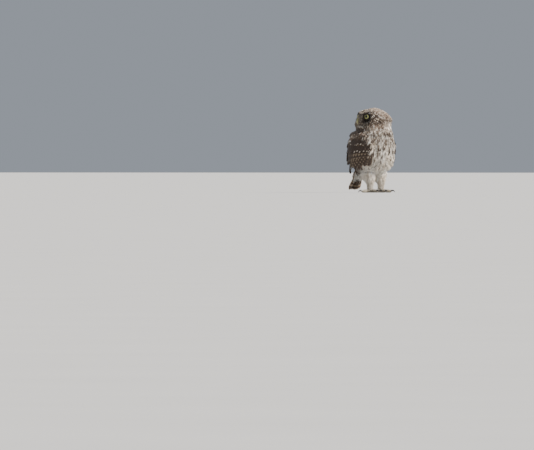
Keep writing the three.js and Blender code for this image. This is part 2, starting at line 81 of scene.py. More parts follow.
HEAD_TURN = math.radians(110)
HEAD_AT = np.array([0, -2, 147.0])
HEAD_SIDE, HEAD_FACE, HEAD_NAPE, HEAD_UP, HEAD_DOWN, HEAD_LEAN = 33, 31, 38.5, 23, 30, 3
SQUARE_BROW, SQUARE_NAPE, SQUARE_JOWL, SQUARE_FACE = 1.8, 1.45, 3, 2.5
EYE_AT = np.array([14.8, 19.6, 5.0])
EYE_RADIUS, EYE_APERTURE, EYE_OUTWARD, EYE_DIP = 7.2, 5.1, 26, -3
BROW_LOW, BROW_RISE, BROW_HEIGHT, BROW_WIDTH = 8.6, 0.36, 1.0, 2.8
DISH_INNER, DISH_OUTER, DISH_DEPTH, DISH_SLOPE = 7.5, 15, 3.3, 0.16
# Sections of the bill about the head's middle, from its hidden root to its tip: y, z, half width, half height
UPPER_BILL = [(21.6, 1, 4.2, 4.2), (28.6, 1.5, 4.4, 4.5), (32.2, -0.4, 4.0, 4.1), (34.7, -3.8, 3.0, 3.2),
              (35.2, -7.5, 1.8, 2.1), (34.1, -11, 0.45, 0.5)]
LOWER_BILL = [(21.6, -5.2, 3.6, 2.4), (28.6, -5.4, 3.3, 2.1), (31.4, -7.1, 2.1, 1)]
CULMEN = 0.45
NOSTRIL = (2.8, 32.3, 2.5)

LEG_X, LEG_Y, LEG_TOP, ANKLE = 17, -9, 47, 10
TOE_RADIUS, CLAW_LENGTH, GAP = 3.1, 10, 0.3
TOES = [(-22, 18), (16, 22), (112, 18), (196, 15)]  # heading from straight ahead, positive outward; length
TAIL_Y, TAIL_Z, TAIL_SLOPE, TAIL_LENGTH, TAIL_ROOF = 21, 73, math.radians(27), 75, 0.009

# Colours of the plumage, in linear light
UMBER = (0.068, 0.047, 0.036)
BROWN = (0.138, 0.092, 0.062)
GREY_BROWN = (0.225, 0.172, 0.138)
DUSK = (0.03, 0.022, 0.018)
FAWN = (0.46, 0.355, 0.285)
BUFF = (0.52, 0.4, 0.275)
CREAM = (0.7, 0.62, 0.51)
WHITE = (0.9, 0.865, 0.8)


# Shapes of the body


def smooth(value, low, high):
    """0 below low, 1 above high, with a soft step between; low may be the larger."""
    t = np.clip((np.asarray(value, float) - low) / (high - low), 0, 1)
    return t * t * (3 - 2 * t)


def bump(distance, width):
    return np.exp(-(distance ** 2) / (2 * width ** 2))


def mixed(a, b, share):
    """Between a and b, which are vectors or rows of them, by a share for each row."""
    share = np.asarray(share)[..., None]
    return np.asarray(a) * (1 - share) + np.asarray(b) * share


def unit(rows):
    return rows / np.maximum(np.linalg.norm(rows, axis=-1, keepdims=True), 1e-9)


def along_skin(flow, normals):
    """The flow with what points into or out of the skin taken away."""
    return unit(flow - normals * np.sum(flow * normals, -1, keepdims=True))


WAVES, FULL_TURN = 6, 6.28


def patches(points, size, seed):
    """Soft seeded blotches, mostly from -1 to 1, as a few crossed waves."""
    draw = np.random.default_rng(seed)
    total = np.zeros(len(points))
    for _ in range(WAVES):
        way = unit(draw.normal(size=3)) * draw.uniform(0.7, 1.4) * 2 * math.pi / size
        total += np.sin(points @ way + draw.uniform(0, FULL_TURN))
    return total / (WAVES / 2)


def section(stations, z):
    """Middle, half width, front and back of the body at heights z, on a smooth curve through the stations."""
    z = np.asarray(z, float)[..., None]
    last = len(stations) - 2
    i = np.clip(np.searchsorted(stations[:, 0], z[..., 0], side="right") - 1, 0, last)
    a, b = stations[i], stations[i + 1]
    before, after = stations[np.maximum(i - 1, 0)], stations[np.minimum(i + 2, last + 1)]
    span = b[..., :1] - a[..., :1]
    t = (z - a[..., :1]) / span
    rise = (b - before) / (b - before)[..., :1] * span
    fall = (after - a) / (after - a)[..., :1] * span
    value = (
        (2 * t ** 3 - 3 * t ** 2 + 1) * a
        + (t ** 3 - 2 * t ** 2 + t) * rise
        + (3 * t ** 2 - 2 * t ** 3) * b
        + (t ** 3 - t ** 2) * fall
    )
    return value[..., 1], value[..., 2], value[..., 3], value[..., 4]


def on_body(stations, z, angle, lift=0.0):
    """Points at heights z and angles round from the breast, lifted off the surface."""
    z, angle, lift = np.broadcast_arrays(np.asarray(z, float), angle, lift)
    y, side, front, back = section(stations, z)
    s, c = np.sin(angle), np.cos(angle)
    depth = np.where(c > 0, front, back)
    out = unit(np.stack([s / side, -c / depth, np.zeros_like(z)], -1))
    return np.stack([side * s, y - depth * c, z], -1) + out * lift[..., None]


def trunk_level(points):
    """1 on the trunk's surface, less inside it and more outside."""
    y, side, front, back = section(TRUNK, points[:, 2])
    dy = points[:, 1] - y
    return np.hypot(points[:, 0] / side, dy / np.where(dy < 0, front, back))


def trunk_angle(points):
    y, side, front, back = section(TRUNK, points[:, 2])
    dy = points[:, 1] - y
    return np.arctan2(points[:, 0] / side, -dy / np.where(dy < 0, front, back))


def front_angle(points):
    """Degrees round from the middle of the breast, to either side."""
    return np.abs(np.degrees(trunk_angle(points)))


def turned(angle):
    c, s = math.cos(angle), math.sin(angle)
    return np.array([(c, -s, 0), (s, c, 0), (0, 0, 1.0)])


HEAD_TURNED = turned(math.pi - HEAD_TURN)


def head_to_body(points):
    return points @ HEAD_TURNED.T + HEAD_AT


def body_to_head(points):
    return (points - HEAD_AT) @ HEAD_TURNED


def eye_frame(side):
    """The eye's middle and its axes as columns, in the head's frame: +Y looks out of it."""
    dip = math.radians(EYE_DIP)
    c, s = math.cos(dip), math.sin(dip)
    tilt = np.array([(1, 0, 0), (0, c, -s), (0, s, c)])
    return EYE_AT * (side, 1, 1), turned(-side * math.radians(EYE_OUTWARD)) @ tilt


def from_eyes(head):
    """How far each point of the head is from the nearer eye's middle."""
    return np.min([np.linalg.norm(head - EYE_AT * (side, 1, 1), axis=1) for side in SIDES.values()], axis=0)


def plain_head(z, angle):
    z, angle = np.broadcast_arrays(np.asarray(z, float), angle)
    s, c = np.sin(angle), np.cos(angle)
    crown = SQUARE_NAPE + (SQUARE_BROW - SQUARE_NAPE) * smooth(c, -0.8, 0.8)
    square = np.where(z > 0, crown, SQUARE_JOWL)
    reach = np.where(z > 0, HEAD_UP, HEAD_DOWN)
    scale = (1 - np.minimum(np.abs(z) / reach, 1) ** square) ** (1 / square)
    flat = np.where(c > 0, 2 / SQUARE_FACE, 1)
    x = HEAD_SIDE * np.sign(s) * np.abs(s) ** flat
    y = np.where(c > 0, HEAD_FACE * np.abs(c) ** flat, HEAD_NAPE * c)
    back = np.where(z > 0, HEAD_LEAN * (z / HEAD_UP) ** 2, 0)
    return np.stack([x * scale, y * scale - back, z], -1)


def face_relief(points):
    side, z = np.abs(points[..., 0]), points[..., 2]
    brow = BROW_HEIGHT * bump(z - BROW_LOW - BROW_RISE * side, BROW_WIDTH) * bump(side - 13, 8)
    bridge = 3.2 * bump(side, 5) * bump(z - 1, 8)
    rim = 1.6 * bump(np.hypot(side / 27, (z + 1) / 17) - 1, 0.1)
    chin = 1.5 * bump(side, 8) * bump(z + 14, 3.5)
    return brow + bridge + rim + chin


def dished(points):
    """The face drawn back round each eye to a shallow cone that meets the lids."""
    for side in SIDES.values():
        middle, axes = eye_frame(side)
        local = (points - middle) @ axes
        from_axis = np.hypot(local[..., 0], local[..., 2])
        share = (1 - smooth(from_axis, DISH_INNER, DISH_OUTER)) * (local[..., 1] > 0)
        brow = BROW_HEIGHT * bump(local[..., 2] - 9.5, BROW_WIDTH) * share
        depth = DISH_DEPTH + DISH_SLOPE * from_axis + brow
        moved = (depth - local[..., 1]) * share
        local[..., 1] += np.where(moved > 0, 1 - 0.85 * smooth(local[..., 2], 4.5, 7.5), 1) * moved
        points = local @ axes.T + middle
    return points


def head_rings(levels, segments):
    turn = np.linspace(0, 2 * math.pi, segments, endpoint=False)
    angle = turn - 0.5 * np.sin(turn)
    points = plain_head(np.asarray(levels, float)[:, None], angle)
    on_face = smooth(np.cos(angle), 0.1, 0.45)
    out = unit(points * (0.6, 1, 0))
    points = points + out * (on_face * face_relief(points))[..., None]
    return head_to_body(dished(points))


def neck_rings(levels, segments):
    """The trunk drawn in softly to the jowls, where it meets the turned head."""
    angle = np.linspace(0, 2 * math.pi, segments, endpoint=False)
    z = np.asarray(levels, float)[:, None]
    share = smooth(z + 0 * angle, NECK_LOW, NECK_HIGH)
    onto = head_to_body(plain_head(np.maximum(z - HEAD_AT[2], NECK_HIGH - HEAD_AT[2]), -angle - HEAD_TURN))
    onto[..., 2] = z
    return mixed(on_body(TRUNK, z, angle), onto, share)


def on_tail(along, x, lift):
    along, x, lift = np.broadcast_arrays(np.asarray(along, float), x, lift)
    ahead = np.array([0, math.sin(TAIL_SLOPE), -math.cos(TAIL_SLOPE)])
    out = np.array([0, math.cos(TAIL_SLOPE), math.sin(TAIL_SLOPE)])
    base = np.stack([x, np.full_like(x, TAIL_Y), np.full_like(x, TAIL_Z)], -1)
    return base + ahead * along[..., None] + out * (lift - TAIL_ROOF * x * x)[..., None]


def on_wing(z, angle, lift):
    """On the left wing's bed, with the angle in degrees."""
    return on_body(WING_BED, z, np.radians(angle), lift)


def smooth_path(stops, count):
    """Points and other values along a smooth curve through the stops, at even steps."""
    stops = np.asarray(stops, float)
    ends = np.vstack([2 * stops[0] - stops[1], stops, 2 * stops[-1] - stops[-2]])
    t = np.linspace(0, len(stops) - 1, count)
    i = np.minimum(t.astype(int), len(stops) - 2)
    t = (t - i)[:, None]
    p0, p1, p2, p3 = (ends[i + k] for k in range(4))
    square, cube = 2 * p0 - 5 * p1 + 4 * p2 - p3, 3 * p1 - p0 - 3 * p2 + p3
    return 0.5 * (2 * p1 + (p2 - p0) * t + square * t ** 2 + cube * t ** 3)


ACROSS = (1, 0, 0)


def tube_rings(stops, across, segments, count, shape=None):
    """Rings along stops of (x, y, z, half width, half height), level along across."""
    path = smooth_path(stops, count)
    ahead = unit(np.gradient(path[:, :3], axis=0))
    across = np.asarray(across, float)
    up = unit(np.cross(ahead, across))
    angle = np.linspace(0, 2 * math.pi, segments, endpoint=False)
    wide = np.cos(angle) * path[:, 3:4]
    high = np.sin(angle) * path[:, 4:5]
    if shape:
        wide, high = shape(wide, high, angle, np.linspace(0, 1, count)[:, None])
    return path[:, None, :3] + wide[..., None] * across + high[..., None] * up[:, None]


# Meshes


class Shape:
    """Vertices in the owl's frame, faces, and maps. A single blade has its vane map for each vertex, and a
    whole piece its vane and bake maps for each face corner."""

    def __init__(self, points, faces, vane=None, bake=None):
        self.points, self.faces, self.vane, self.bake = points, faces, vane, bake


def grid_faces(rows, columns, closed=False):
    """The quads between rows of points, also from the last column to the first where they are closed."""
    r, c = np.meshgrid(np.arange(rows - 1), np.arange(columns if closed else columns - 1), indexing="ij")
    nxt = (c + 1) % columns
    low, high = r * columns, (r + 1) * columns
    return np.stack([low + c, low + nxt, high + nxt, high + c], -1).reshape(-1, 4)


def closed_loft(rings):
    """A closed shape from rings, with a fan over each end. A third of the faces tell whether they point
    outwards, and all are turned where they don't."""
    rows, columns, _ = rings.shape
    points = np.vstack([rings.reshape(-1, 3), rings[0].mean(0), rings[-1].mean(0)])
    faces = grid_faces(rows, columns, closed=True).tolist()
    low, high = len(points) - 2, len(points) - 1
    last = (rows - 1) * columns
    for j in range(columns):
        k = (j + 1) % columns
        faces.append((low, k, j))
        faces.append((high, last + j, last + k))
    some = np.array([face[:3] for face in faces[::3]])
    a, b, c = np.moveaxis(points[some] - points.mean(0), 1, 0)
    outwards = np.sum(a * np.cross(b, c)) > 0
    return Shape(points, faces if outwards else [face[::-1] for face in faces])


def on_side(shape, side):
    """A shape of the left side as it is, or mirrored to the right with its faces turned outwards again."""
    shape.points = shape.points * (side, 1, 1)
    if side < 0:
        shape.faces = [face[::-1] for face in shape.faces]
    return shape


def merged(shapes):
    points, faces, total = [], [], 0
    for shape in shapes:
        points.append(shape.points)
        faces += [tuple(i + total for i in face) for face in shape.faces]
        total += len(shape.points)
    return Shape(np.vstack(points), faces)


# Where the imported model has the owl: its left eye against the same eye here.
eye_low, eye_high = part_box("eye_left")
SHIFT = np.array((eye_low + eye_high) / 2) / MM - head_to_body(EYE_AT)


def to_row(points):
    """From the owl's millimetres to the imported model's metres."""
    return (np.asarray(points) + SHIFT) * MM


def from_row(points):
    """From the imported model's metres to the owl's millimetres."""
    return points / MM - SHIFT


def make_object(name, shape, material=None):
    mesh = bpy.data.meshes.new(name)
    mesh.from_pydata(to_row(shape.points).tolist(), [], [list(face) for face in shape.faces])
    mesh.validate()
    for label, values in (("vane", shape.vane), ("OFBake", shape.bake)):
        if values is not None:
            layer = mesh.uv_layers.new(name=label)
            layer.data.foreach_set("uv", np.asarray(values, np.float32).ravel())
    mesh.shade_smooth()
    piece = bpy.data.objects.new(name, mesh)
    bpy.context.scene.collection.objects.link(piece)
    if material:
        mesh.materials.append(material)
    return piece


def settled(piece):
    """The piece with its modifiers turned into plain mesh."""
    graph = bpy.context.evaluated_depsgraph_get()
    made = piece.evaluated_get(graph)
    made = bpy.data.meshes.new_from_object(made, preserve_all_data_layers=True, depsgraph=graph)
    piece.modifiers.clear()
    piece.data = made
    return piece


def fused(piece, voxel, rounds):
    """The piece with its closed shapes run into one skin, which is then relaxed a little."""
    remesh = piece.modifiers.new("one skin", "REMESH")
    remesh.mode = "VOXEL"
    remesh.voxel_size = voxel * MM
    relax = piece.modifiers.new("relax", "SMOOTH")
    relax.factor, relax.iterations = 0.5, rounds
    return settled(piece)


def finished(piece, material):
    """The piece with this material alone."""
    piece.data.materials.clear()
    piece.data.materials.append(material)
    return piece


def mesh_points(mesh):
    points = np.empty(len(mesh.vertices) * 3)
    mesh.vertices.foreach_get("co", points)
    return points.reshape(-1, 3)


def mesh_normals(mesh):
    normals = np.empty(len(mesh.vertices) * 3)
    mesh.vertex_normals.foreach_get("vector", normals)
    return normals.reshape(-1, 3)


def move_points(mesh, points):
    mesh.vertices.foreach_set("co", points.astype(np.float32).ravel())
    mesh.update()


def above_floor(piece):
    """The piece with nothing lower than the floor it stands on."""
    points = mesh_points(piece.data)
    points[:, 2] = np.maximum(points[:, 2], 0)
    move_points(piece.data, points)
    return piece


def vertex_value(mesh, name, values):
    layer = mesh.attributes.new(name, "FLOAT", "POINT")
    layer.data.foreach_set("value", np.asarray(values, np.float32))


def vertex_colour(mesh, name, colours, alpha=1.0):
    layer = mesh.attributes.new(name, "FLOAT_COLOR", "POINT")
    rgba = np.empty((len(colours), 4), np.float32)
    rgba[:, :3] = colours
    rgba[:, 3] = alpha
    layer.data.foreach_set("color", rgba.ravel())


# Materials


class Finish:
    """A material whose nodes are made one by one, and fed by sockets or by plain values."""

    def __init__(self, name, roughness, **shader):
        self.material = bpy.data.materials.new(name)
        self.material.use_nodes = True
        self.nodes = self.material.node_tree.nodes
        self.links = self.material.node_tree.links
        self.shader = self.nodes["Principled BSDF"]
        self.shader.inputs["Roughness"].default_value = roughness
        for label, value in shader.items():
            self.shader.inputs[label.replace("_", " ")].default_value = value

    def feed(self, socket, value):
        if isinstance(value, bpy.types.NodeSocket):
            self.links.new(value, socket)
        elif isinstance(value, (int, float)):
            socket.default_value = value
        else:
            socket.default_value = (*value, 1) if len(socket.default_value) == 4 and len(value) == 3 else value

    def node(self, kind, inputs=(), **settings):
        made = self.nodes.new(kind)
        for label, value in settings.items():
            setattr(made, label, value)
        for label, value in dict(inputs).items():
            self.feed(made.inputs[label], value)
        return made

    def math(self, operation, a, b=0.0):
        return self.node("ShaderNodeMath", {0: a, 1: b}, operation=operation).outputs[0]

    times, over = partialmethod(math, "MULTIPLY"), partialmethod(math, "DIVIDE")
    plus, minus = partialmethod(math, "ADD"), partialmethod(math, "SUBTRACT")
    most, size = partialmethod(math, "MAXIMUM"), partialmethod(math, "ABSOLUTE")

    def far(self, a, b):
        """How far a and b reach together, as the two sides of a right angle."""
        return self.math("SQRT", self.plus(self.times(a, a), self.times(b, b)))

    def step(self, value, low, high, start=0.0, end=1.0):
        """From start to end as value goes from low to high, softly."""
        made = self.node("ShaderNodeMapRange", {0: value, 1: low, 2: high, 3: start, 4: end},
                         interpolation_type="SMOOTHSTEP")
        return made.outputs[0]

    def mix(self, share, a, b, blend="MIX"):
        made = self.node("ShaderNodeMix", data_type="RGBA", blend_type=blend)
        self.feed(made.inputs[0], share)
        self.feed(made.inputs[6], a)
        self.feed(made.inputs[7], b)
        return made.outputs[2]

    def attribute(self, name, output="Color"):
        return self.node("ShaderNodeAttribute", attribute_name=name).outputs[output]

    def parts(self, vector):
        return self.node("ShaderNodeSeparateXYZ", {0: vector}).outputs

    def place(self):
        return self.node("ShaderNodeTexCoord").outputs["Object"]

    def noise(self, scale, detail=2.0, vector=None, stretch=None):
        vector = vector or self.place()
        if stretch:
            vector = self.node("ShaderNodeMapping", {"Vector": vector, "Scale": stretch}).outputs[0]
        return self.node("ShaderNodeTexNoise", {"Vector": vector, "Scale": scale, "Detail": detail}).outputs[0]

    def vane(self):
        """Across the feather from -1 to 1, and along it from root to tip."""
        uv = self.parts(self.node("ShaderNodeUVMap", uv_map="vane").outputs[0])
        across = self.math("MULTIPLY_ADD", uv[0], 2.0)
        across.node.inputs[2].default_value = -1.0
        return across, uv[1]

    def barbs(self, across, along, count, slant=0.3, seed=0.0):
        """Fine irregular barbs that run out and forward from the shaft, from 0 to 1."""
        out = self.size(across)
        phase = self.times(self.minus(along, self.times(out, slant)), count)
        lane = self.node("ShaderNodeCombineXYZ", {0: phase, 1: self.times(across, 1.5), 2: seed})
        return self.noise(1.0, 1.5, lane.outputs[0])

    def grained(self, colour, grain, dark, light):
        """The colour shaded from dark to light by a grain of the surface."""
        return self.mix(1.0, colour, self.step(grain, 0.25, 0.75, dark, light), "MULTIPLY")

    def bump(self, height, strength, distance):
        made = self.node("ShaderNodeBump", {"Height": height, "Strength": strength, "Distance": distance})
        self.links.new(made.outputs[0], self.shader.inputs["Normal"])

    def colour(self, value):
        self.feed(self.shader.inputs["Base Color"], value)
        return self.material


# Keeps the barbs of one feather apart from the next one's
OWN_LANE = 97.0


def coat_finish(name, barbs, roughness):
    """Body feathers: each has its own ground, and an accent as a streak along its shaft or a spot near its
    tip. The attribute pattern holds the streak's half width, the spot's radius and how pale the margin is, and
    the ground's alpha a number of the feather's own."""
    finish = Finish(name, roughness, Sheen_Weight=0.12, Sheen_Roughness=0.5, Specular_IOR_Level=0.2)
    across, along = finish.vane()
    off = finish.size(across)
    own = finish.times(finish.attribute("ground", "Alpha"), OWN_LANE)
    half_width, radius, pale = finish.parts(finish.attribute("pattern", "Vector"))
    lines = finish.barbs(across, along, barbs, seed=own)
    frayed = finish.step(lines, 0.2, 0.8, -0.22, 0.22)
    drop = finish.times(finish.step(along, 0.1, 0.7, 0.5, 1.0), finish.step(along, 1.04, 0.84))
    streak = finish.step(finish.minus(finish.times(half_width, drop), finish.plus(off, frayed)), -0.12, 0.12)
    streak = finish.times(streak, finish.step(half_width, 0.0, 0.05))
    from_spot = finish.far(off, finish.times(finish.minus(along, 0.78), 2.0))
    spot = finish.step(finish.minus(radius, finish.plus(from_spot, frayed)), -0.14, 0.14)
    spot = finish.times(spot, finish.step(radius, 0.0, 0.05))
    margin = finish.times(finish.most(finish.step(off, 0.45, 1.0), finish.step(along, 0.8, 1.0)), pale)
    ground = finish.mix(margin, finish.attribute("ground"), CREAM)
    colour = finish.mix(finish.most(streak, spot), ground, finish.attribute("accent"))
    colour = finish.grained(colour, lines, 0.8, 1.12)
    root = finish.step(along, 0.4, 0.05, 0.0, 0.35)
    finish.bump(lines, 0.25, 0.00015)
    return finish.colour(finish.mix(root, colour, GREY_BROWN))


def flight_finish(name, ground, pale, spots=(), bars=0.0, through=0.0, fringe=0.35):
    """Large feathers. Pale spots are listed as (across, along, half width, half length) with the feather's
    outer edge at -1; bars gives how many pale bars cross it, strongest on the outer vane and through the inner
    one by the given share. Each feather's own number sets the size of its spots, and slides them a little."""
    finish = Finish(name, 0.62, Sheen_Weight=0.08, Sheen_Roughness=0.4, Specular_IOR_Level=0.3)
    across, along = finish.vane()
    off = finish.size(across)
    lines = finish.barbs(across, along, 110.0, 0.12, finish.times(finish.attribute("own", "Fac"), OWN_LANE))
    waver = finish.times(finish.minus(finish.noise(350.0), 0.5), 0.4)
    luck = finish.math("FRACT", finish.times(finish.attribute("own", "Fac"), 37.0))
    grown = finish.step(luck, 0.0, 1.0, 0.3, 1.15)
    slid = finish.times(finish.minus(luck, 0.5), 0.08)
    frayed = finish.plus(waver, finish.step(lines, 0.2, 0.8, -0.12, 0.12))

    def ellipse(u, along_it, v, wide, long):
        du = finish.over(finish.minus(across, u), wide)
        dv = finish.over(finish.plus(finish.minus(along_it, v), slid), long)
        share = finish.over(finish.far(du, dv), grown)
        return finish.step(finish.plus(share, frayed), 1.15, 0.85)

    edge = finish.most(finish.step(off, 0.9, 1.0), finish.step(along, 0.965, 0.995))
    marks = [finish.times(edge, fringe)]
    marks += [ellipse(u, along, v, wide, long) for u, v, wide, long in spots]
    if bars:
        cycle = finish.math("FRACT", finish.times(along, bars))
        marks.append(ellipse(-0.85, cycle, 0.5, 0.75, 0.26))
        off_bar = finish.size(finish.minus(cycle, 0.5))
        band = finish.step(finish.plus(off_bar, finish.times(frayed, 0.3)), 0.24, 0.16)
        marks.append(finish.times(band, through))
    mask = marks[0]
    for mark in marks[1:]:
        mask = finish.most(mask, mark)
    tint = finish.mix(finish.noise(160.0, 3.0), [c * 0.75 for c in ground], [c * 1.3 for c in ground])
    colour = finish.mix(mask, tint, pale)
    colour = finish.mix(finish.step(off, 0.08, 0.03, 0.0, 0.7), colour, DUSK)
    finish.bump(lines, 0.25, 0.0001)
    return finish.colour(finish.grained(colour, lines, 0.84, 1.1))


def skin_finish(name):
    """The skin under the coat, in the coat's own colours, with a fine downy grain."""
    finish = Finish(name, 0.95, Sheen_Weight=0.3, Specular_IOR_Level=0.15)
    down = finish.noise(1400.0, 3.0)
    shade = finish.step(down, 0.3, 0.7, 0.75, 1.1)
    finish.bump(down, 0.5, 0.0006)
    return finish.colour(finish.mix(1.0, finish.attribute("ground"), shade, "MULTIPLY"))


def bill_finish(name):
    """Greenish-yellow horn, greyer and fleshier over the cere, paler and finely grown towards the tip."""
    finish = Finish(name, 0.42, Coat_Weight=0.1, Coat_Roughness=0.3)
    growth = finish.attribute("growth", "Fac")
    cere = finish.step(growth, 0.42, 0.36)
    horn = finish.mix(finish.step(growth, 0.4, 0.8), (0.22, 0.21, 0.085), (0.38, 0.355, 0.175))
    horn = finish.mix(finish.step(growth, 0.86, 1.0, 0.0, 0.6), horn, (0.2, 0.17, 0.09))
    mottle = finish.noise(500.0, 3.0)
    horn = finish.mix(finish.step(mottle, 0.4, 0.8, 0.0, 0.4), horn, (0.22, 0.2, 0.08))
    colour = finish.mix(cere, horn, (0.15, 0.135, 0.085))
    finish.bump(finish.noise(1500.0, 2.0, stretch=(1, 1, 0.3)), 0.25, 0.0002)
    return finish.colour(colour)


def claw_finish(name):
    """Polished dark horn, greyer at the root, finely grained along the claw."""
    finish = Finish(name, 0.3, Coat_Weight=0.3, Coat_Roughness=0.15)
    growth = finish.attribute("growth", "Fac")
    colour = finish.mix(finish.step(growth, 0.0, 0.6), (0.07, 0.06, 0.052), (0.012, 0.011, 0.011))
    grain = finish.noise(1800.0, 2.0, stretch=(1, 1, 0.25))
    finish.bump(grain, 0.2, 0.00015)
    return finish.colour(finish.mix(finish.step(grain, 0.4, 0.8, 0.0, 0.35), colour, (0.12, 0.1, 0.085)))


def toe_finish(name):
    """Dry, scaly skin, greyish buff, darker in the folds between the scutes."""
    finish = Finish(name, 0.6, Specular_IOR_Level=0.35)
    cells = finish.node("ShaderNodeTexVoronoi", {"Vector": finish.place(), "Scale": 850.0},
                        feature="DISTANCE_TO_EDGE").outputs[0]
    folds = finish.step(cells, 0.0, 0.12)
    tone = finish.mix(finish.noise(260.0, 3.0), (0.27, 0.235, 0.18), (0.42, 0.38, 0.3))
    finish.bump(folds, 0.6, 0.00025)
    return finish.colour(finish.mix(folds, (0.15, 0.125, 0.095), tone))


def eye_finish(name):
    """A greenish-yellow iris, greyed and darkened as painted shade, with fine spokes and a dark rim, round a
    black pupil, under a wet cornea.
    The map gives the turn round the iris, and how far out from its middle."""
    finish = Finish(name, 0.3, Coat_Weight=1.0, Coat_Roughness=0.02, Coat_IOR=1.38, Specular_IOR_Level=0.05)
    turn, from_middle, _ = finish.parts(finish.node("ShaderNodeUVMap", uv_map="vane").outputs[0])
    around, out = finish.times(turn, 60.0), finish.times(from_middle, 4.0)
    lane = finish.node("ShaderNodeCombineXYZ", {0: around, 1: out})
    spokes = finish.noise(1.0, 3.0, lane.outputs[0])
    # The iris's yellow greyed and darkened as painted shade.
    iris = finish.mix(finish.step(spokes, 0.3, 0.7), (0.3, 0.31, 0.105), (0.52, 0.52, 0.215))
    iris = finish.mix(finish.step(from_middle, 0.47, 0.62), (0.24, 0.23, 0.07), iris)
    colour = finish.mix(finish.step(from_middle, 0.84, 0.96), iris, (0.02, 0.017, 0.012))
    pupil = finish.step(from_middle, 0.5, 0.47)
    return finish.colour(finish.mix(pupil, colour, (0.003, 0.003, 0.003)))


def lid_finish(name):
    """Matt, nearly black skin with pale-edged creases."""
    finish = Finish(name, 0.9, Specular_IOR_Level=0.08)
    creases = finish.noise(1500.0, 3.0)
    finish.bump(creases, 0.5, 0.0002)
    return finish.colour(finish.mix(creases, (0.02, 0.018, 0.016), (0.06, 0.052, 0.045)))


def bristle_finish(name, root, tip):
    """A hair-like feather, coloured from its root to its tip, with a little dark at random."""
    finish = Finish(name, 0.6, Specular_IOR_Level=0.3)
    _, along = finish.vane()
    tone = finish.mix(finish.step(along, 0.45, 1.0), root, tip)
    return finish.colour(finish.mix(finish.noise(500.0, 2.0), tone, [c * 0.75 for c in root]))


# Small forms that are planted by the hundred: unit length along Y, unit width along X


def form_object(name, points, faces, vane, holder):
    mesh = bpy.data.meshes.new(name)
    mesh.from_pydata([tuple(map(float, p)) for p in points], [], faces)
    layer = mesh.uv_layers.new(name="vane")
    loops = np.empty(len(mesh.loops), np.int32)
    mesh.loops.foreach_get("vertex_index", loops)
    layer.data.foreach_set("uv", np.asarray(vane, np.float32)[loops].ravel())
    mesh.shade_smooth()
    piece = bpy.data.objects.new(name, mesh)
    holder.objects.link(piece)
    return piece


def feather_form(name, holder, draw, teeth, fray, lean=0.45, cup=0.3, rise=0.1, droop=0.13, thick=0.03):
    """One small feather as a closed, thin, cupped vane. Its shaft is a ridge, and its barbs part into teeth
    along both margins, that lean towards the tip."""
    points, vane, faces, margins, ends = [], [], [], set(), {}
    bend = draw.uniform(-0.08, 0.08)

    def place(u, along, x, below=0.0):
        vane.append((u / 2 + 0.5, min(along, 1)))
        z = rise * math.sin(math.pi * min(along, 1)) - droop * along ** 2 - cup * x * x - below
        points.append((x + bend * along ** 2, along, z))
        return len(points) - 1

    def forward(index, along):
        """Draws a point of the margin on towards the feather's tip."""
        points[index] = (points[index][0], along, points[index][2])

    def half(along):
        return 0.5 * math.sin(math.pi * (0.1 + 0.76 * along)) ** 0.6

    steps = [0.92 * k / teeth for k in range(teeth + 1)]
    top = [place(0, a, 0, -thick) for a in steps]
    under = [place(0, a, 0, thick) for a in steps]
    for side in (1, -1):
        split = draw.integers(1, teeth)
        dents, tips = [], []
        for k, a in enumerate(steps):
            deep = fray * draw.uniform(0.6, 1.2) * (2.2 if k == split else 1) * (k > 0)
            reach = 1 - min(deep, 0.8)
            wide = half(a) * reach
            dents.append(place(side * reach, a, side * wide))
            forward(dents[-1], a + lean * wide * 0.8 * (k > 0))
        for k in range(teeth):
            a = (steps[k] + steps[k + 1]) / 2
            wide = half(a) * draw.uniform(0.92, 1.08)
            tips.append(place(side, a, side * wide))
            forward(tips[-1], a + lean * wide + 0.5 * fray / teeth)
        for k in range(teeth):
            a, b, c, d, e = top[k], dents[k], tips[k], dents[k + 1], top[k + 1]
            upper = [(a, b, c), (a, c, e), (e, c, d)]
            a, e = under[k], under[k + 1]
            lower = [(a, d, b), (a, e, d), (b, d, c)]
            faces += [f if side > 0 else f[::-1] for f in upper + lower]
            margins |= {frozenset((b, c)), frozenset((c, d))}
        ends[side] = (dents[0], dents[-1])
    tip = place(0, 1.0, 0)
    points[tip] = (bend, 1.0 + 0.06 * lean, points[tip][2])
    (right_root, right), (left_root, left) = ends[1], ends[-1]
    faces += [(top[-1], right, tip), (top[-1], tip, left), (under[-1], tip, right), (under[-1], left, tip)]
    faces += [(left_root, under[0], top[0]), (right_root, top[0], under[0])]
    margins |= {frozenset((right, tip)), frozenset((left, tip))}
    piece = form_object(name, points, faces, vane, holder)
    mesh = piece.data
    layer = mesh.attributes.new("sharp_edge", "BOOLEAN", "EDGE")
    layer.data.foreach_set("value", [frozenset(edge.vertices) in margins for edge in mesh.edges])
    return piece


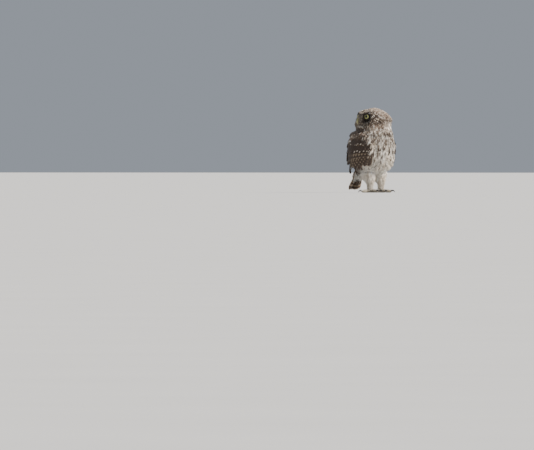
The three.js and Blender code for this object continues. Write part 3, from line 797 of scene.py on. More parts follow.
def tuft_form(name, holder, draw, wisps, spread=0.5, blade=0.22, rise=0.1, droop=0.12, fine=0.042):
    """One loose feather: a narrow closed blade down its middle, and loose barbs beside it, as flat spikes."""
    points, vane, faces = [], [], []

    def place(x, along, z):
        points.append((x, along, z))
        vane.append((np.clip(x, -0.5, 0.5) + 0.5, np.clip(along, 0, 1)))
        return len(points) - 1

    def arch(along):
        return rise * math.sin(math.pi * min(along, 1)) - droop * along ** 2

    rows = []
    for along, wide in ((0, 0.3), (0.4, 1.0), (0.78, 0.8)):
        x = wide * blade / 2
        rows.append([place(-x, along, arch(along)), place(0, along, arch(along) + 0.03),
                     place(x, along, arch(along)), place(0, along, arch(along) - 0.03)])
    end = place(draw.uniform(-0.04, 0.04), 1, arch(1))
    for low, high in zip(rows, rows[1:]):
        for j in range(4):
            k = (j + 1) % 4
            faces.append((low[k], low[j], high[j], high[k]))
    for j in range(4):
        faces.append((rows[-1][(j + 1) % 4], rows[-1][j], end))
    faces.append(tuple(rows[0]))
    for i in range(wisps):
        u = 2 * (i + 0.5) / wisps - 1 + draw.uniform(-0.1, 0.1)
        start = draw.uniform(0.02, 0.2) + 0.15 * (1 - abs(u))
        reach = draw.uniform(0.72, 1.0) * (1 - 0.18 * abs(u)) + 0.06
        lift = draw.uniform(-0.02, 0.07)
        path = [(u * 0.12, start, arch(start)),
                (u * spread * 0.72 + draw.uniform(-0.04, 0.04), (start + reach) * 0.52,
                 arch(0.5) + lift - 0.08 * u * u),
                (u * spread + draw.uniform(-0.05, 0.05), reach, arch(reach) + lift - 0.16 * u * u)]
        rings = []
        for (x, y, z), wide in zip(path[:2], (0.8, 1.0)):
            out = fine * wide
            rings.append([place(x - out, y, z), place(x, y, z + fine * 0.5), place(x + out, y, z)])
        tip = place(*path[2])
        low, high = rings
        for j in range(3):
            k = (j + 1) % 3
            faces.append((low[k], low[j], high[j], high[k]))
            faces.append((high[k], high[j], tip))
        faces.append(tuple(low))
    return form_object(name, points, faces, vane, holder)


def bristle_form(name, holder, curve=0.25, rows=5, sides=3):
    points, vane = [], []
    for r in range(rows):
        t = r / rows
        radius = 0.5 * (1 - t) ** 0.7
        for k in range(sides):
            a = 2 * math.pi * k / sides
            points.append((radius * math.cos(a), t, curve * t * t + radius * math.sin(a)))
            vane.append((k / sides, t))
    points.append((0, 1, curve))
    vane.append((0.5, 1))
    faces = [tuple(map(int, f)) for f in grid_faces(rows, sides, closed=True)]
    last = (rows - 1) * sides
    faces += [(last + k, last + (k + 1) % sides, len(points) - 1) for k in range(sides)]
    faces.append(tuple(reversed(range(sides))))
    return form_object(name, points, [f[::-1] for f in faces], vane, holder)


# Planting: points with their own turn, size and colours, and a tree of nodes that sets a form on each


def turns_of(normals, flows):
    """Quaternions that take +Z to each normal and +Y as near as can be to each flow."""
    y = along_skin(flows, normals)
    x = np.cross(y, normals)
    m = np.stack([x, y, normals], -1)
    trace = np.stack([
        1 + m[:, 0, 0] + m[:, 1, 1] + m[:, 2, 2],
        1 + m[:, 0, 0] - m[:, 1, 1] - m[:, 2, 2],
        1 - m[:, 0, 0] + m[:, 1, 1] - m[:, 2, 2],
        1 - m[:, 0, 0] - m[:, 1, 1] + m[:, 2, 2],
    ], -1)
    best = trace.argmax(-1)
    s = np.sqrt(np.take_along_axis(trace, best[:, None], -1))[:, 0] * 2
    a, b, c = m[:, 2, 1] - m[:, 1, 2], m[:, 0, 2] - m[:, 2, 0], m[:, 1, 0] - m[:, 0, 1]
    d, e, f = m[:, 1, 0] + m[:, 0, 1], m[:, 0, 2] + m[:, 2, 0], m[:, 2, 1] + m[:, 1, 2]
    choices = np.stack([
        np.stack([s / 4, a / s, b / s, c / s], -1),
        np.stack([a / s, s / 4, d / s, e / s], -1),
        np.stack([b / s, d / s, s / 4, f / s], -1),
        np.stack([c / s, e / s, f / s, s / 4], -1),
    ])
    return choices[best, np.arange(len(best))]


def planting_tree(name, forms, material):
    """Sets a form on every point by its own turn and size, with a little more variation of size, and gives
    each one its patch on the bake map."""
    tree = bpy.data.node_groups.new(name, "GeometryNodeTree")
    face = tree.interface
    face.new_socket("Geometry", in_out="INPUT", socket_type="NodeSocketGeometry")
    for label, kind in (("Size variation", "NodeSocketFloat"), ("Patch width", "NodeSocketFloat"),
                        ("Seed", "NodeSocketInt")):
        face.new_socket(label, in_out="INPUT", socket_type=kind)
    face.new_socket("Geometry", in_out="OUTPUT", socket_type="NodeSocketGeometry")
    node, link = tree.nodes.new, tree.links.new
    entry, leave = node("NodeGroupInput"), node("NodeGroupOutput")

    def named(label, kind):
        made = node("GeometryNodeInputNamedAttribute")
        made.data_type = kind
        made.inputs["Name"].default_value = label
        return made.outputs["Attribute"]

    def vector_math(operation, a, b):
        made = node("ShaderNodeVectorMath")
        made.operation = operation
        for socket, value in zip(made.inputs, (a, b)):
            if isinstance(value, bpy.types.NodeSocket):
                link(value, socket)
            else:
                socket.default_value = value
        return made.outputs[0]

    info = node("GeometryNodeCollectionInfo")
    info.inputs["Collection"].default_value = forms
    info.inputs["Separate Children"].default_value = True
    info.inputs["Reset Children"].default_value = True
    low, high = node("ShaderNodeMath"), node("ShaderNodeMath")
    for made, operation in ((low, "SUBTRACT"), (high, "ADD")):
        made.operation = operation
        made.inputs[0].default_value = 1.0
        link(entry.outputs["Size variation"], made.inputs[1])
    varied = node("FunctionNodeRandomValue")
    varied.data_type = "FLOAT"
    link(low.outputs[0], varied.inputs[2])
    link(high.outputs[0], varied.inputs[3])
    link(entry.outputs["Seed"], varied.inputs["Seed"])
    place = node("GeometryNodeInstanceOnPoints")
    place.inputs["Pick Instance"].default_value = True
    link(entry.outputs["Geometry"], place.inputs["Points"])
    link(info.outputs[0], place.inputs["Instance"])
    link(named("form", "INT"), place.inputs["Instance Index"])
    link(named("turn", "QUATERNION"), place.inputs["Rotation"])
    link(vector_math("MULTIPLY", named("size", "FLOAT_VECTOR"), varied.outputs[1]), place.inputs["Scale"])
    real = node("GeometryNodeRealizeInstances")
    link(place.outputs[0], real.inputs[0])
    patch = node("GeometryNodeStoreNamedAttribute")
    patch.data_type, patch.domain = "FLOAT2", "CORNER"
    patch.inputs["Name"].default_value = "OFBake"
    spread = vector_math("SUBTRACT", named("vane", "FLOAT_VECTOR"), (0.5, 0.5, 0.0))
    spread = vector_math("MULTIPLY", spread, entry.outputs["Patch width"])
    link(vector_math("ADD", named("root_uv", "FLOAT_VECTOR"), spread), patch.inputs["Value"])
    link(real.outputs[0], patch.inputs["Geometry"])
    finish = node("GeometryNodeSetMaterial")
    finish.inputs["Material"].default_value = material
    link(patch.outputs[0], finish.inputs["Geometry"])
    link(finish.outputs[0], leave.inputs[0])
    return tree


PATCH_WIDTH = 0.003


def planted(name, roots, forms, material, seed, variation=0.12):
    """A piece of the coat. roots holds, for each feather, point, normal, flow, size, form, ground, accent,
    pattern and root_uv."""
    mesh = bpy.data.meshes.new(name)
    count = len(roots["point"])
    mesh.vertices.add(count)
    mesh.vertices.foreach_set("co", to_row(roots["point"]).astype(np.float32).ravel())

    def store(label, kind, field, values):
        layer = mesh.attributes.new(label, kind, "POINT")
        exact = np.int32 if kind == "INT" else np.float32
        layer.data.foreach_set(field, np.ascontiguousarray(values, exact).ravel())

    store("turn", "QUATERNION", "value", turns_of(roots["normal"], roots["flow"]))
    store("size", "FLOAT_VECTOR", "vector", roots["size"] * MM)
    store("form", "INT", "value", roots["form"])
    store("root_uv", "FLOAT_VECTOR", "vector", np.pad(roots["root_uv"], ((0, 0), (0, 1))))
    store("pattern", "FLOAT_VECTOR", "vector", roots["pattern"])
    vertex_colour(mesh, "ground", roots["ground"], np.random.default_rng(seed).random(count))
    vertex_colour(mesh, "accent", roots["accent"])
    piece = bpy.data.objects.new(name, mesh)
    bpy.context.scene.collection.objects.link(piece)
    tree = planting_tree(name, forms, material)
    modifier = piece.modifiers.new("planting", "NODES")
    modifier.node_group = tree
    wanted = {"Size variation": variation, "Patch width": PATCH_WIDTH, "Seed": seed}
    for socket in tree.interface.items_tree:
        if socket.in_out == "INPUT" and socket.name in wanted:
            modifier[socket.identifier] = wanted[socket.name]
    settled(piece)
    for label in ("turn", "size", "form", "root_uv"):
        layer = piece.data.attributes.get(label)
        if layer:
            piece.data.attributes.remove(layer)
    return piece


# The skin


def leg_rings(side):
    """A feathered leg, from inside the belly down to the foot."""
    stops = [
        (LEG_X - 0.5, LEG_Y + 5, LEG_TOP, 14.5, 18),
        (LEG_X, LEG_Y + 4, 37, 13.8, 16),
        (LEG_X, LEG_Y + 1.5, 28, 11, 12),
        (LEG_X, LEG_Y, 19, 7.8, 8.4),
        (LEG_X, LEG_Y, ANKLE - 2, 5.8, 6.4),
    ]
    return tube_rings(stops, ACROSS, 32, 24) * (side, 1, 1)


def tail_core_rings():
    """The flesh and soft feathers at the root of the tail."""
    stops = [(22, -4, 15, 8), (36, -3.4, 14, 6.2), (44, -5, 13, 5.2), (54, -7.4, 10, 2.4), (60, -7, 6, 1.2)]
    placed = [(*on_tail(along, 0, lift), wide, high) for along, lift, wide, high in stops]
    return tube_rings(placed, ACROSS, 32, 24)


def wing_pad(side):
    """The fleshy wing, as a pad that swells in its middle and sinks in at its edges."""
    u, v = np.meshgrid(np.linspace(0, 1, 40), np.linspace(0, 1, 32), indexing="ij")
    arch = np.sin(math.pi * u) ** 0.6
    low = 76 + 8 * u
    high = 106 + 6 * u + 14 * arch
    front = 57 - 7 * np.sin(math.pi * v)
    back = 150 + 13 * np.sin(math.pi * v)
    swell = (np.sin(math.pi * np.clip(u, 0.03, 0.97)) * np.sin(math.pi * np.clip(v, 0.06, 0.96))) ** 0.4
    height, angle = low + (high - low) * v, front + (back - front) * u
    outer = on_wing(height, angle, 2.4 * swell)
    inner = on_wing(height, angle, -4.0)
    rows, columns = u.shape
    size = rows * columns
    points = np.vstack([outer.reshape(-1, 3), inner.reshape(-1, 3)])
    top = grid_faces(rows, columns)
    faces = top.tolist() + (top[:, ::-1] + size).tolist()
    rim = [*range(columns), *range(2 * columns - 1, size, columns),
           *range(size - 2, size - columns - 1, -1), *range(size - 2 * columns, 0, -columns)]
    faces += [(b, a, size + a, size + b) for a, b in zip(rim, rim[1:] + rim[:1])]
    return on_side(Shape(points, [face[::-1] for face in faces]), side)


def body_shape():
    """All the fleshy parts out to the feathers' tips, as closed shapes that run into one another."""
    trunk = on_body(TRUNK, np.linspace(35, 118, 60)[:, None], np.linspace(0, 2 * math.pi, 96, endpoint=False))
    head_levels = np.concatenate([np.linspace(-14, 16, 46), HEAD_UP * np.sin(np.linspace(0.8, 1.56, 16))])
    parts = [trunk, neck_rings(np.linspace(116, 135, 20), 96), head_rings(head_levels, 160), tail_core_rings()]
    parts += [leg_rings(side) for side in SIDES.values()]
    return merged([closed_loft(rings) for rings in parts] + [wing_pad(side) for side in SIDES.values()])


ON_TRUNK, ON_HEAD, ON_LEG, ON_TAIL, ON_WING = range(5)


def region_of(points):
    """The part of the body that each point belongs to."""
    x, y, z = points.T
    level = trunk_level(points)
    angle = front_angle(points)
    region = np.full(len(points), ON_TRUNK)
    leg_out = np.hypot(np.abs(x) - LEG_X, y - LEG_Y - 2)
    region[(z < 44) & (leg_out < 18) & (level > 1.06)] = ON_LEG
    region[(z < 36.5) & (leg_out < 18)] = ON_LEG
    region[(z < 60) & (y > 24) & (np.abs(x) < 19) & (level > 1.02)] = ON_TAIL
    region[(level > 1.012) & (angle > 48) & (z > 72) & (z < 127)] = ON_WING
    region[z > 131 + 1.5 * patches(points, 7, 10)] = ON_HEAD
    return region


COAT_DEPTHS = (3.0, 2.0, 1.3, 1.6, 1.4)
FACE_DEPTH, LID_DEPTH = 1.0, 0.25


def coat_depth(points):
    """How far the skin lies below the feathers' tips."""
    region = region_of(points)
    depth = np.array(COAT_DEPTHS)[region]
    head = body_to_head(points)
    eye_out = from_eyes(head)
    on_face = smooth(head[:, 1], 8, 16) * (region == ON_HEAD)
    depth = depth * (1 - on_face) + FACE_DEPTH * on_face
    depth = depth * smooth(eye_out, 7, 15) + LID_DEPTH * (1 - smooth(eye_out, 7, 15))
    return depth * (1 - smooth(points[:, 2], 16, 9) * (region == ON_LEG) * 0.6)


def bake_unwrap(mesh):
    """An unwrap of the skin by the way its faces point, laid out for the bake map."""
    view = bpy.context.view_layer
    holder = bpy.data.objects.new("unwrap", mesh)
    bpy.context.scene.collection.objects.link(holder)
    view.objects.active = holder
    holder.select_set(True)
    mesh.uv_layers.new(name="OFBake")
    bpy.ops.object.mode_set(mode="EDIT")
    bpy.ops.mesh.select_all(action="SELECT")
    bpy.ops.uv.smart_project(angle_limit=math.radians(80), island_margin=0.004)
    bpy.ops.object.mode_set(mode="OBJECT")
    bpy.data.objects.remove(holder)


SKIN_VOXEL, TOE_VOXEL = 1.15, 0.42


def make_skin():
    """The body's shapes as one skin, sunk below the tips of the feathers that will cover it."""
    piece = fused(make_object("skin", body_shape()), SKIN_VOXEL, 4)
    mesh = piece.data
    points = from_row(mesh_points(mesh))
    move_points(mesh, to_row(points - mesh_normals(mesh) * coat_depth(points)[:, None]))
    mesh.shade_smooth()
    bake_unwrap(mesh)
    return piece


class Surface:
    """The skin as arrays, for planting on. Below the face the normals are calmed, so that the coat lies evenly
    over the skin's small ledges."""

    def __init__(self, mesh, rounds=14):
        mesh.calc_loop_triangles()
        count = len(mesh.loop_triangles)
        corners, loops = np.empty(count * 3, np.int32), np.empty(count * 3, np.int32)
        mesh.loop_triangles.foreach_get("vertices", corners)
        mesh.loop_triangles.foreach_get("loops", loops)
        self.corners, loops = corners.reshape(-1, 3), loops.reshape(-1, 3)
        self.points = from_row(mesh_points(mesh))
        self.normals = mesh_normals(mesh)
        self.calm(rounds)
        uv = np.zeros(len(mesh.loops) * 2)
        if "OFBake" in mesh.uv_layers:
            mesh.uv_layers["OFBake"].data.foreach_get("uv", uv)
        self.uv = uv.reshape(-1, 2)[loops]
        a, b, c = (self.points[self.corners[:, k]] for k in range(3))
        self.middle = (a + b + c) / 3
        self.area = np.linalg.norm(np.cross(b - a, c - a), axis=1) / 2

    def calm(self, rounds):
        calmed, flat = self.normals, self.corners.ravel()
        for _ in range(rounds):
            around = np.repeat(calmed[self.corners].sum(1), 3, axis=0)
            calmed = unit(np.column_stack([np.bincount(flat, around[:, k], len(calmed)) for k in range(3)]))
        self.normals = unit(mixed(calmed, self.normals, smooth(self.points[:, 2], 131, 138)))

    def scatter(self, spacing, draw, region=None, crowd=7):
        """Roots in the region, no closer than spacing(points, normals) gives there, and none where that is 0."""

        def room(points, normals):
            space = spacing(points, normals)
            return space if region is None else space * (region_of(points) == region)

        normals = unit(self.normals[self.corners].sum(1))
        space = room(self.middle, normals)
        weight = np.where(space > 0, self.area / np.maximum(space, 0.1) ** 2, 0)
        count = int(weight.sum() * crowd)
        pick = draw.choice(len(weight), count, p=weight / weight.sum())
        share = draw.random((count, 2))
        fold = share.sum(1) > 1
        share[fold] = 1 - share[fold]
        share = np.column_stack([1 - share.sum(1), share])[..., None]
        points = (self.points[self.corners[pick]] * share).sum(1)
        normals = unit((self.normals[self.corners[pick]] * share).sum(1))
        uv = (self.uv[pick] * share).sum(1)
        space = room(points, normals)
        near = KDTree(count)
        for i, p in enumerate(points):
            near.insert(p, i)
        near.balance()
        open_ = space > 0
        kept = []
        for i in range(count):
            if open_[i]:
                kept.append(i)
                for _, j, _ in near.find_range(points[i], space[i]):
                    open_[j] = False
        return {"point": points[kept], "normal": normals[kept], "root_uv": uv[kept], "space": space[kept]}


# Markings, and painted shade on the face: the colours that skin and coat share


def head_zones(head):
    """How much each point of the head, in its own frame, belongs to each zone of the face."""
    x, y, z = head.T
    side = np.abs(x)
    front = smooth(y, 0, 10)
    ring = np.hypot(side / 27, (z + 1) / 17)
    brow_line = z - BROW_LOW - BROW_RISE * side
    eye_out = from_eyes(head)
    return {
        "disc": front * smooth(ring, 1.04, 0.94) * smooth(brow_line, 0.5, -1.5),
        "brow": front * bump(brow_line - 0.6, 1.4) * smooth(side, 21, 13),
        "rim": front * bump(ring - 1.0, 0.07) * smooth(z, 9, 3),
        "cheek": front * bump(ring - 0.84, 0.1) * smooth(z, -1, -7),
        "round_eye": smooth(eye_out, 12.0, 8.5) * front,
        "outer_eye": smooth(eye_out, 25, 15) * smooth(side, 12, 19) * smooth(z, -13, -5) * smooth(z, 15, 9),
        # Where a shadow falls under the ruff's edge, on the side of the head at the disc's rim.
        "ruff_shadow": bump(y - 3, 6) * bump(z + 4, 4.5) * smooth(side, 18, 25),
        "lores": front * smooth(side, 9.5, 5.5) * smooth(z, 12, 8) * smooth(z, -15, -9),
        "chin": front * smooth(side, 15, 9) * smooth(z, -9, -13),
        "nape": smooth(y, -2, -14),
    }


def head_ground(points):
    """The head's colours, laid one over another, with painted shade darkening the face."""
    head = body_to_head(points)
    zones = head_zones(head)
    x, y, z = head.T
    nape_white = zones["nape"] * bump(z + 7 + 0.2 * np.abs(x), 5.5) * (0.6 + 0.6 * patches(points, 13, 8))
    # The disc's grey-brown drawn mostly to umber: partly its own colour, partly painted shade.
    disc = mixed(GREY_BROWN, UMBER, np.clip(0.88 + 0.3 * patches(points, 8, 2), 0, 1))
    colour = mixed(GREY_BROWN, FAWN, np.clip(0.45 + 0.45 * patches(points, 11, 1), 0, 1))
    for own, share in (
        (BROWN, 0.45 * smooth(z, 12, 0)),
        (WHITE, np.clip(nape_white, 0, 0.92)),
        # The forehead drawn to umber: partly its own colour, partly painted shade.
        (UMBER, 0.85 * smooth(y, 6, 17) * smooth(z, 4, 12)),
        # A near-black patch there: a painted shadow under the ruff's edge.
        (mixed(UMBER, DUSK, 0.5), 0.95 * zones["ruff_shadow"]),
        (disc, zones["disc"]),
        # Behind the eye, umber that is mostly painted shade and partly the disc's own colour.
        (UMBER, 0.8 * zones["outer_eye"]),
        # The cheeks, lores and brows are only faintly paler than the disc: their own cream, held back by painted
        # shade.
        (CREAM, 0.25 * zones["cheek"]),
        (DUSK, 0.7 * zones["round_eye"] * (1 - zones["brow"])),
        (CREAM, 0.15 * zones["lores"]),
        (CREAM, 0.5 * zones["brow"]),
        (UMBER, 0.75 * zones["rim"]),
        (WHITE, 0.9 * zones["chin"]),
    ):
        colour = mixed(colour, own, share)
    return colour


def trunk_ground(points):
    angle = front_angle(points)
    z = points[:, 2]
    back = smooth(angle, 66, 86)
    breast = mixed(WHITE, CREAM, np.clip(0.3 + 0.4 * patches(points, 22, 3), 0, 1))
    breast = mixed(breast, BUFF, 0.2 * smooth(z, 84, 108))
    collar = smooth(z + 6 * patches(points, 16, 12), 92, 110) * (0.65 + 0.5 * patches(points, 7, 13))
    breast = mixed(breast, mixed(BROWN, GREY_BROWN, 0.3), np.clip(collar, 0, 0.92))
    upper = mixed(BROWN, UMBER, 0.5 + 0.4 * patches(points, 18, 4))
    upper = mixed(upper, GREY_BROWN, 0.3 * smooth(z, 110, 130))
    colour = mixed(breast, upper, back)
    return mixed(colour, WHITE, 0.75 * smooth(z, 58, 46) * (1 - smooth(angle, 95, 125)))


def ground_colour(points):
    region = region_of(points)
    leg = mixed(WHITE, CREAM, np.clip(0.5 + 0.4 * patches(points, 12, 5), 0, 1))
    tail = mixed(WHITE, BROWN, smooth(points[:, 1] - 24 - 0.5 * (60 - points[:, 2]), -3, 2))
    wing = mixed(UMBER, BROWN, 0.35 + 0.3 * patches(points, 15, 6))
    on_head = smooth(points[:, 2] + 1.5 * patches(points, 9, 9), 129, 134)
    colour = mixed(trunk_ground(points), head_ground(points), on_head)
    for part, own in ((ON_LEG, leg), (ON_TAIL, tail), (ON_WING, wing)):
        colour = np.where((region == part)[:, None], own, colour)
    return np.clip(colour, 0.004, 0.95)


# The lie of the feathers


def head_flow(points):
    head = body_to_head(points)
    x, y, z = head.T
    zones = head_zones(head)
    nape = smooth(y, 12, -18)
    flow = mixed((0, -1.0, -0.12), (0, -0.25, -1.0), nape)
    flow = mixed(flow, (0, -0.75, -0.75), smooth(np.abs(x), 16, 28) * smooth(z, 12, 4))
    low = smooth(z, -4, -12)
    flow = mixed(flow, (0, -0.15, -1.0), low)
    side = np.sign(x)
    from_eye = np.stack([x - side * EYE_AT[0], np.zeros_like(x), z - EYE_AT[2]], -1)
    radial = unit(from_eye) + np.stack([0 * x, -0.25 - 0.6 * smooth(z, 7, 12), 0 * x], -1)
    bridge = smooth(np.abs(x), 6, 2.5)
    radial = mixed(radial, np.stack([x * 0.25, 0 * x + 0.3, 0 * x - 1.0], -1), bridge * smooth(z, 9, 4))
    flow = mixed(flow, radial, np.maximum(zones["disc"], zones["lores"]))
    brow = np.stack([side * 0.7, 0 * x - 0.8, 0 * x + 0.2], -1)
    flow = mixed(flow, brow, zones["brow"])
    return flow @ HEAD_TURNED.T


def lie(points, normals, draw, stray):
    """The way each feather points along the skin, with a little straying."""
    region = region_of(points)
    x, y, z = points.T
    angle = trunk_angle(points)
    front = smooth(np.abs(angle), 1.4, 0.9)
    spread = 0.3 * np.sin(np.clip(angle, -1.5, 1.5)) * front * smooth(z, 120, 80)
    flow = np.stack([spread, np.full_like(x, 0.3), np.full_like(x, -1.0)], -1)
    for part, way in ((ON_TAIL, (0, 0.45, -0.9)), (ON_WING, (0, 0.38, -1.0)), (ON_LEG, (0, 0.12, -1.0))):
        flow[region == part] = way
    on_head = smooth(z, 126, 136) * ((region == ON_TRUNK) | (region == ON_HEAD))
    flow = mixed(unit(flow), unit(head_flow(points)), on_head)
    flow = flow + draw.normal(scale=stray, size=flow.shape)
    return along_skin(flow, normals)


def pitched(normals, flows, degrees):
    """Normals leaned back so that each feather's tip stands off the skin."""
    angle = np.radians(degrees)[:, None]
    c, s = np.cos(angle), np.sin(angle)
    return unit(normals * c - flows * s), unit(flows * c + normals * s)


VARIANTS = 5
BRISTLE_CURVES = (0.12, 0.2, 0.3, 0.42)


def dressed(roots, draw, length, width, pitch, stray=0.12, flow=None, variants=VARIANTS):
    """Adds each feather's turn, size and form to its roots. Length, width and pitch are values or rows."""
    count = len(roots["point"])
    flows = lie(roots["point"], roots["normal"], draw, stray) if flow is None else flow
    pitch = np.broadcast_to(np.asarray(pitch, float), count) * draw.uniform(0.7, 1.35, count)
    roots["normal"], roots["flow"] = pitched(roots["normal"], flows, pitch)
    length, width = np.broadcast_to(length, count), np.broadcast_to(width, count)
    roots["size"] = np.column_stack([width, length, length]) * draw.uniform(0.88, 1.14, (count, 1))
    roots["form"] = draw.integers(0, variants, count)
    return roots


DARKEST, ACCENT_DARKEST, PALEST = 0.004, 0.003, 0.95


def coloured(roots, draw, accent, streak=0.0, spot=0.0, pale=0.0, ground=None, vary=0.12):
    """Adds each feather's own ground and accent, and the widths of its marks."""
    count = len(roots["point"])
    ground = ground_colour(roots["point"]) if ground is None else ground
    for label, colour, darkest in (("ground", ground, DARKEST), ("accent", accent, ACCENT_DARKEST)):
        shade = 1 + draw.normal(scale=vary, size=(count, 1))
        roots[label] = np.clip(np.broadcast_to(colour, (count, 3)) * shade, darkest, PALEST)
    roots["pattern"] = np.column_stack([np.broadcast_to(v, count) for v in (streak, spot, pale)])
    return roots


def on_some(draw, count, share, low, high=None):
    """For a share of the feathers picked at random low, or a value from low to high, and 0 for the others."""
    picked = draw.random(count) < share
    return np.where(picked, low if high is None else draw.uniform(low, high, count), 0)


def raised(roots, by):
    """The roots lifted off the skin, so that their feathers lie over others."""
    roots["point"] = roots["point"] + roots["normal"] * by
    return roots


# Feather pieces of the coat. Each function begins with its seed, how far apart its roots are, and the length,
# width and pitch in degrees of its feathers, before they are varied.


def make_forms():
    """The seeded variants of each kind of small feather, each kind in a holder of its own."""
    draw = np.random.default_rng(11)
    kinds = {
        "broad": (feather_form, dict(teeth=12, fray=0.07, cup=0.34)),
        "loose": (tuft_form, dict(wisps=10)),
        "tuft": (tuft_form, dict(wisps=5, blade=0.32, fine=0.07)),
    }
    holders = {kind: bpy.data.collections.new(kind) for kind in (*kinds, "bristle")}
    for holder in holders.values():
        bpy.context.scene.collection.children.link(holder)
    for kind, (make, ways) in kinds.items():
        for k in range(VARIANTS):
            make(f"{kind}_{k}", holders[kind], draw, **ways)
    for k, curve in enumerate(BRISTLE_CURVES):
        bristle_form(f"bristle_{k}", holders["bristle"], curve)
    return holders


def drop_forms(holders):
    for holder in holders.values():
        for piece in list(holder.objects):
            bpy.data.objects.remove(piece)
        bpy.data.collections.remove(holder)


# Where pieces of the coat begin and end on the trunk: heights, and degrees round from the breast
BREAST_LOW, BREAST_EDGE = 60, 88
STREAKS_LOW, STREAKS_HIGH, STREAKS_EDGE = 56, 127, 84
BELLY_HIGH, BELLY_EDGE = 61, 130
BACK_LOW, BACK_EDGE, RUMP_HIGH, RUMP_EDGE = 44, 84, 58, 130
UNDER_WING_HIGH, UNDER_WING_EDGE = 96, 118
MANTLE_LOW, MANTLE_HIGH, MANTLE_EDGE = 117, 134, 98


def make_breast(surface, forms, material):
    """Throat and breast, with loose margins: brown above with white spots, whitish below."""
    seed, apart, length, width, pitch = 21, 1.95, 12.0, 5.2, 9
    draw = np.random.default_rng(seed)

    def spacing(points, normals):
        z = points[:, 2]
        here = (front_angle(points) < BREAST_EDGE) & (z > BREAST_LOW)
        return here * apart * (1 - 0.2 * smooth(z, 108, 130))

    roots = surface.scatter(spacing, draw, ON_TRUNK)
    z = roots["point"][:, 2]
    size = 1 - 0.22 * smooth(z, 104, 130)
    roots = dressed(roots, draw, length * size, width * size, pitch + 6 * bump(z - 127, 6), 0.18)
    spot = on_some(draw, len(z), 0.3, 0.55) * smooth(z, 98, 110)
    roots = coloured(roots, draw, WHITE, spot=spot, pale=0.15, vary=0.1)
    return planted("breast_feathers", roots, forms["loose"], material, seed)


def make_streaks(surface, forms, material):
    """Longer breast and flank feathers over the rest, each with a broad dark streak down its shaft."""
    seed, apart, length, width, pitch = 34, 5.2, 17, 6.8, 9
    draw = np.random.default_rng(seed)

    def spacing(points, normals):
        z, angle = points[:, 2], front_angle(points)
        here = (angle < STREAKS_EDGE) & (z > STREAKS_LOW) & (z < STREAKS_HIGH)
        sparser = 1 + 0.5 * bump(angle, 14) * smooth(z, 92, 74)
        return here * apart * (sparser * (1 - 0.3 * smooth(z, 100, 118)))

    roots = surface.scatter(spacing, draw, ON_TRUNK)
    z, angle = roots["point"][:, 2], front_angle(roots["point"])
    shorter = smooth(z, 92, 120)
    roots = dressed(raised(roots, 0.4), draw, length - 7.5 * shorter, width - 1.6 * shorter, pitch, 0.2)
    dark = smooth(z, 58, 86) * (0.85 + 0.3 * smooth(angle, 20, 60))
    streak = draw.uniform(0.42, 0.66, len(z)) * dark
    accent = mixed(BROWN, UMBER, 0.35 + draw.random(len(z)) * 0.65)
    ground = mixed(mixed(WHITE, CREAM, draw.random(len(z))), GREY_BROWN, 0.5 * smooth(z, 92, 108))
    roots = coloured(roots, draw, accent, streak, ground=ground, vary=0.08)
    return planted("breast_streaks", roots, forms["loose"], material, seed)


def make_belly(surface, forms, material):
    """Lower belly and vent: long, loose, nearly white feathers that curl under towards the tail."""
    seed, apart, length, width, pitch = 22, 2.05, 13.0, 5.6, 10
    draw = np.random.default_rng(seed)

    def spacing(points, normals):
        return ((front_angle(points) < BELLY_EDGE) & (points[:, 2] < BELLY_HIGH)) * apart

    roots = dressed(surface.scatter(spacing, draw, ON_TRUNK), draw, length, width, pitch, 0.2)
    z, angle = roots["point"][:, 2], front_angle(roots["point"])
    streak = on_some(draw, len(z), 0.2, 0.25) * smooth(z, 48, 58) * smooth(angle, 8, 30)
    roots = coloured(roots, draw, BROWN, streak, pale=0.2, vary=0.08)
    return planted("belly_feathers", roots, forms["loose"], material, seed)


def spotted_brown(roots, draw, share):
    """Upper feathers in the trunk's own brown, a share of them with a pale round spot."""
    spot = on_some(draw, len(roots["point"]), share, 0.28, 0.45)
    return coloured(roots, draw, CREAM, 0, spot, 0.16, trunk_ground(roots["point"]), 0.2)


def make_back(surface, forms, material):
    """Back and rump: rounded brown feathers, some with a pale round spot, and sparser under the wings."""
    seed, apart, length, width, pitch = 23, 2.2, 11, 6.4, 7
    draw = np.random.default_rng(seed)

    def spacing(points, normals):
        z, angle = points[:, 2], front_angle(points)
        here = (angle >= np.where(z < RUMP_HIGH, RUMP_EDGE, BACK_EDGE)) & (z >= BACK_LOW)
        sparser = np.where((angle < UNDER_WING_EDGE) & (z < UNDER_WING_HIGH), 1.7, 1.0)
        return here * apart * (sparser * (1 - 0.2 * smooth(z, 108, 128)))

    roots = surface.scatter(spacing, draw, ON_TRUNK)
    z = roots["point"][:, 2]
    size = 1 - 0.3 * smooth(z, 108, 130)
    roots = spotted_brown(dressed(roots, draw, length * size, width * size, pitch, 0.1), draw, 0.3)
    return planted("back_feathers", roots, forms["broad"], material, seed)


def make_mantle(surface, forms, material):
    """The feathers between the shoulders, over the roots of the scapulars."""
    seed, apart, length, width, pitch = 35, 2.2, 9.5, 6.0, 3
    draw = np.random.default_rng(seed)

    def spacing(points, normals):
        z = points[:, 2]
        return ((front_angle(points) > MANTLE_EDGE) & (z > MANTLE_LOW) & (z < MANTLE_HIGH)) * apart

    roots = surface.scatter(spacing, draw)
    z = roots["point"][:, 2]
    over = 0.4 + 2.4 * smooth(z, 129, 117)
    roots = spotted_brown(dressed(raised(roots, over[:, None]), draw, length, width, pitch, 0.1), draw, 0.35)
    return planted("mantle_feathers", roots, forms["broad"], material, seed)


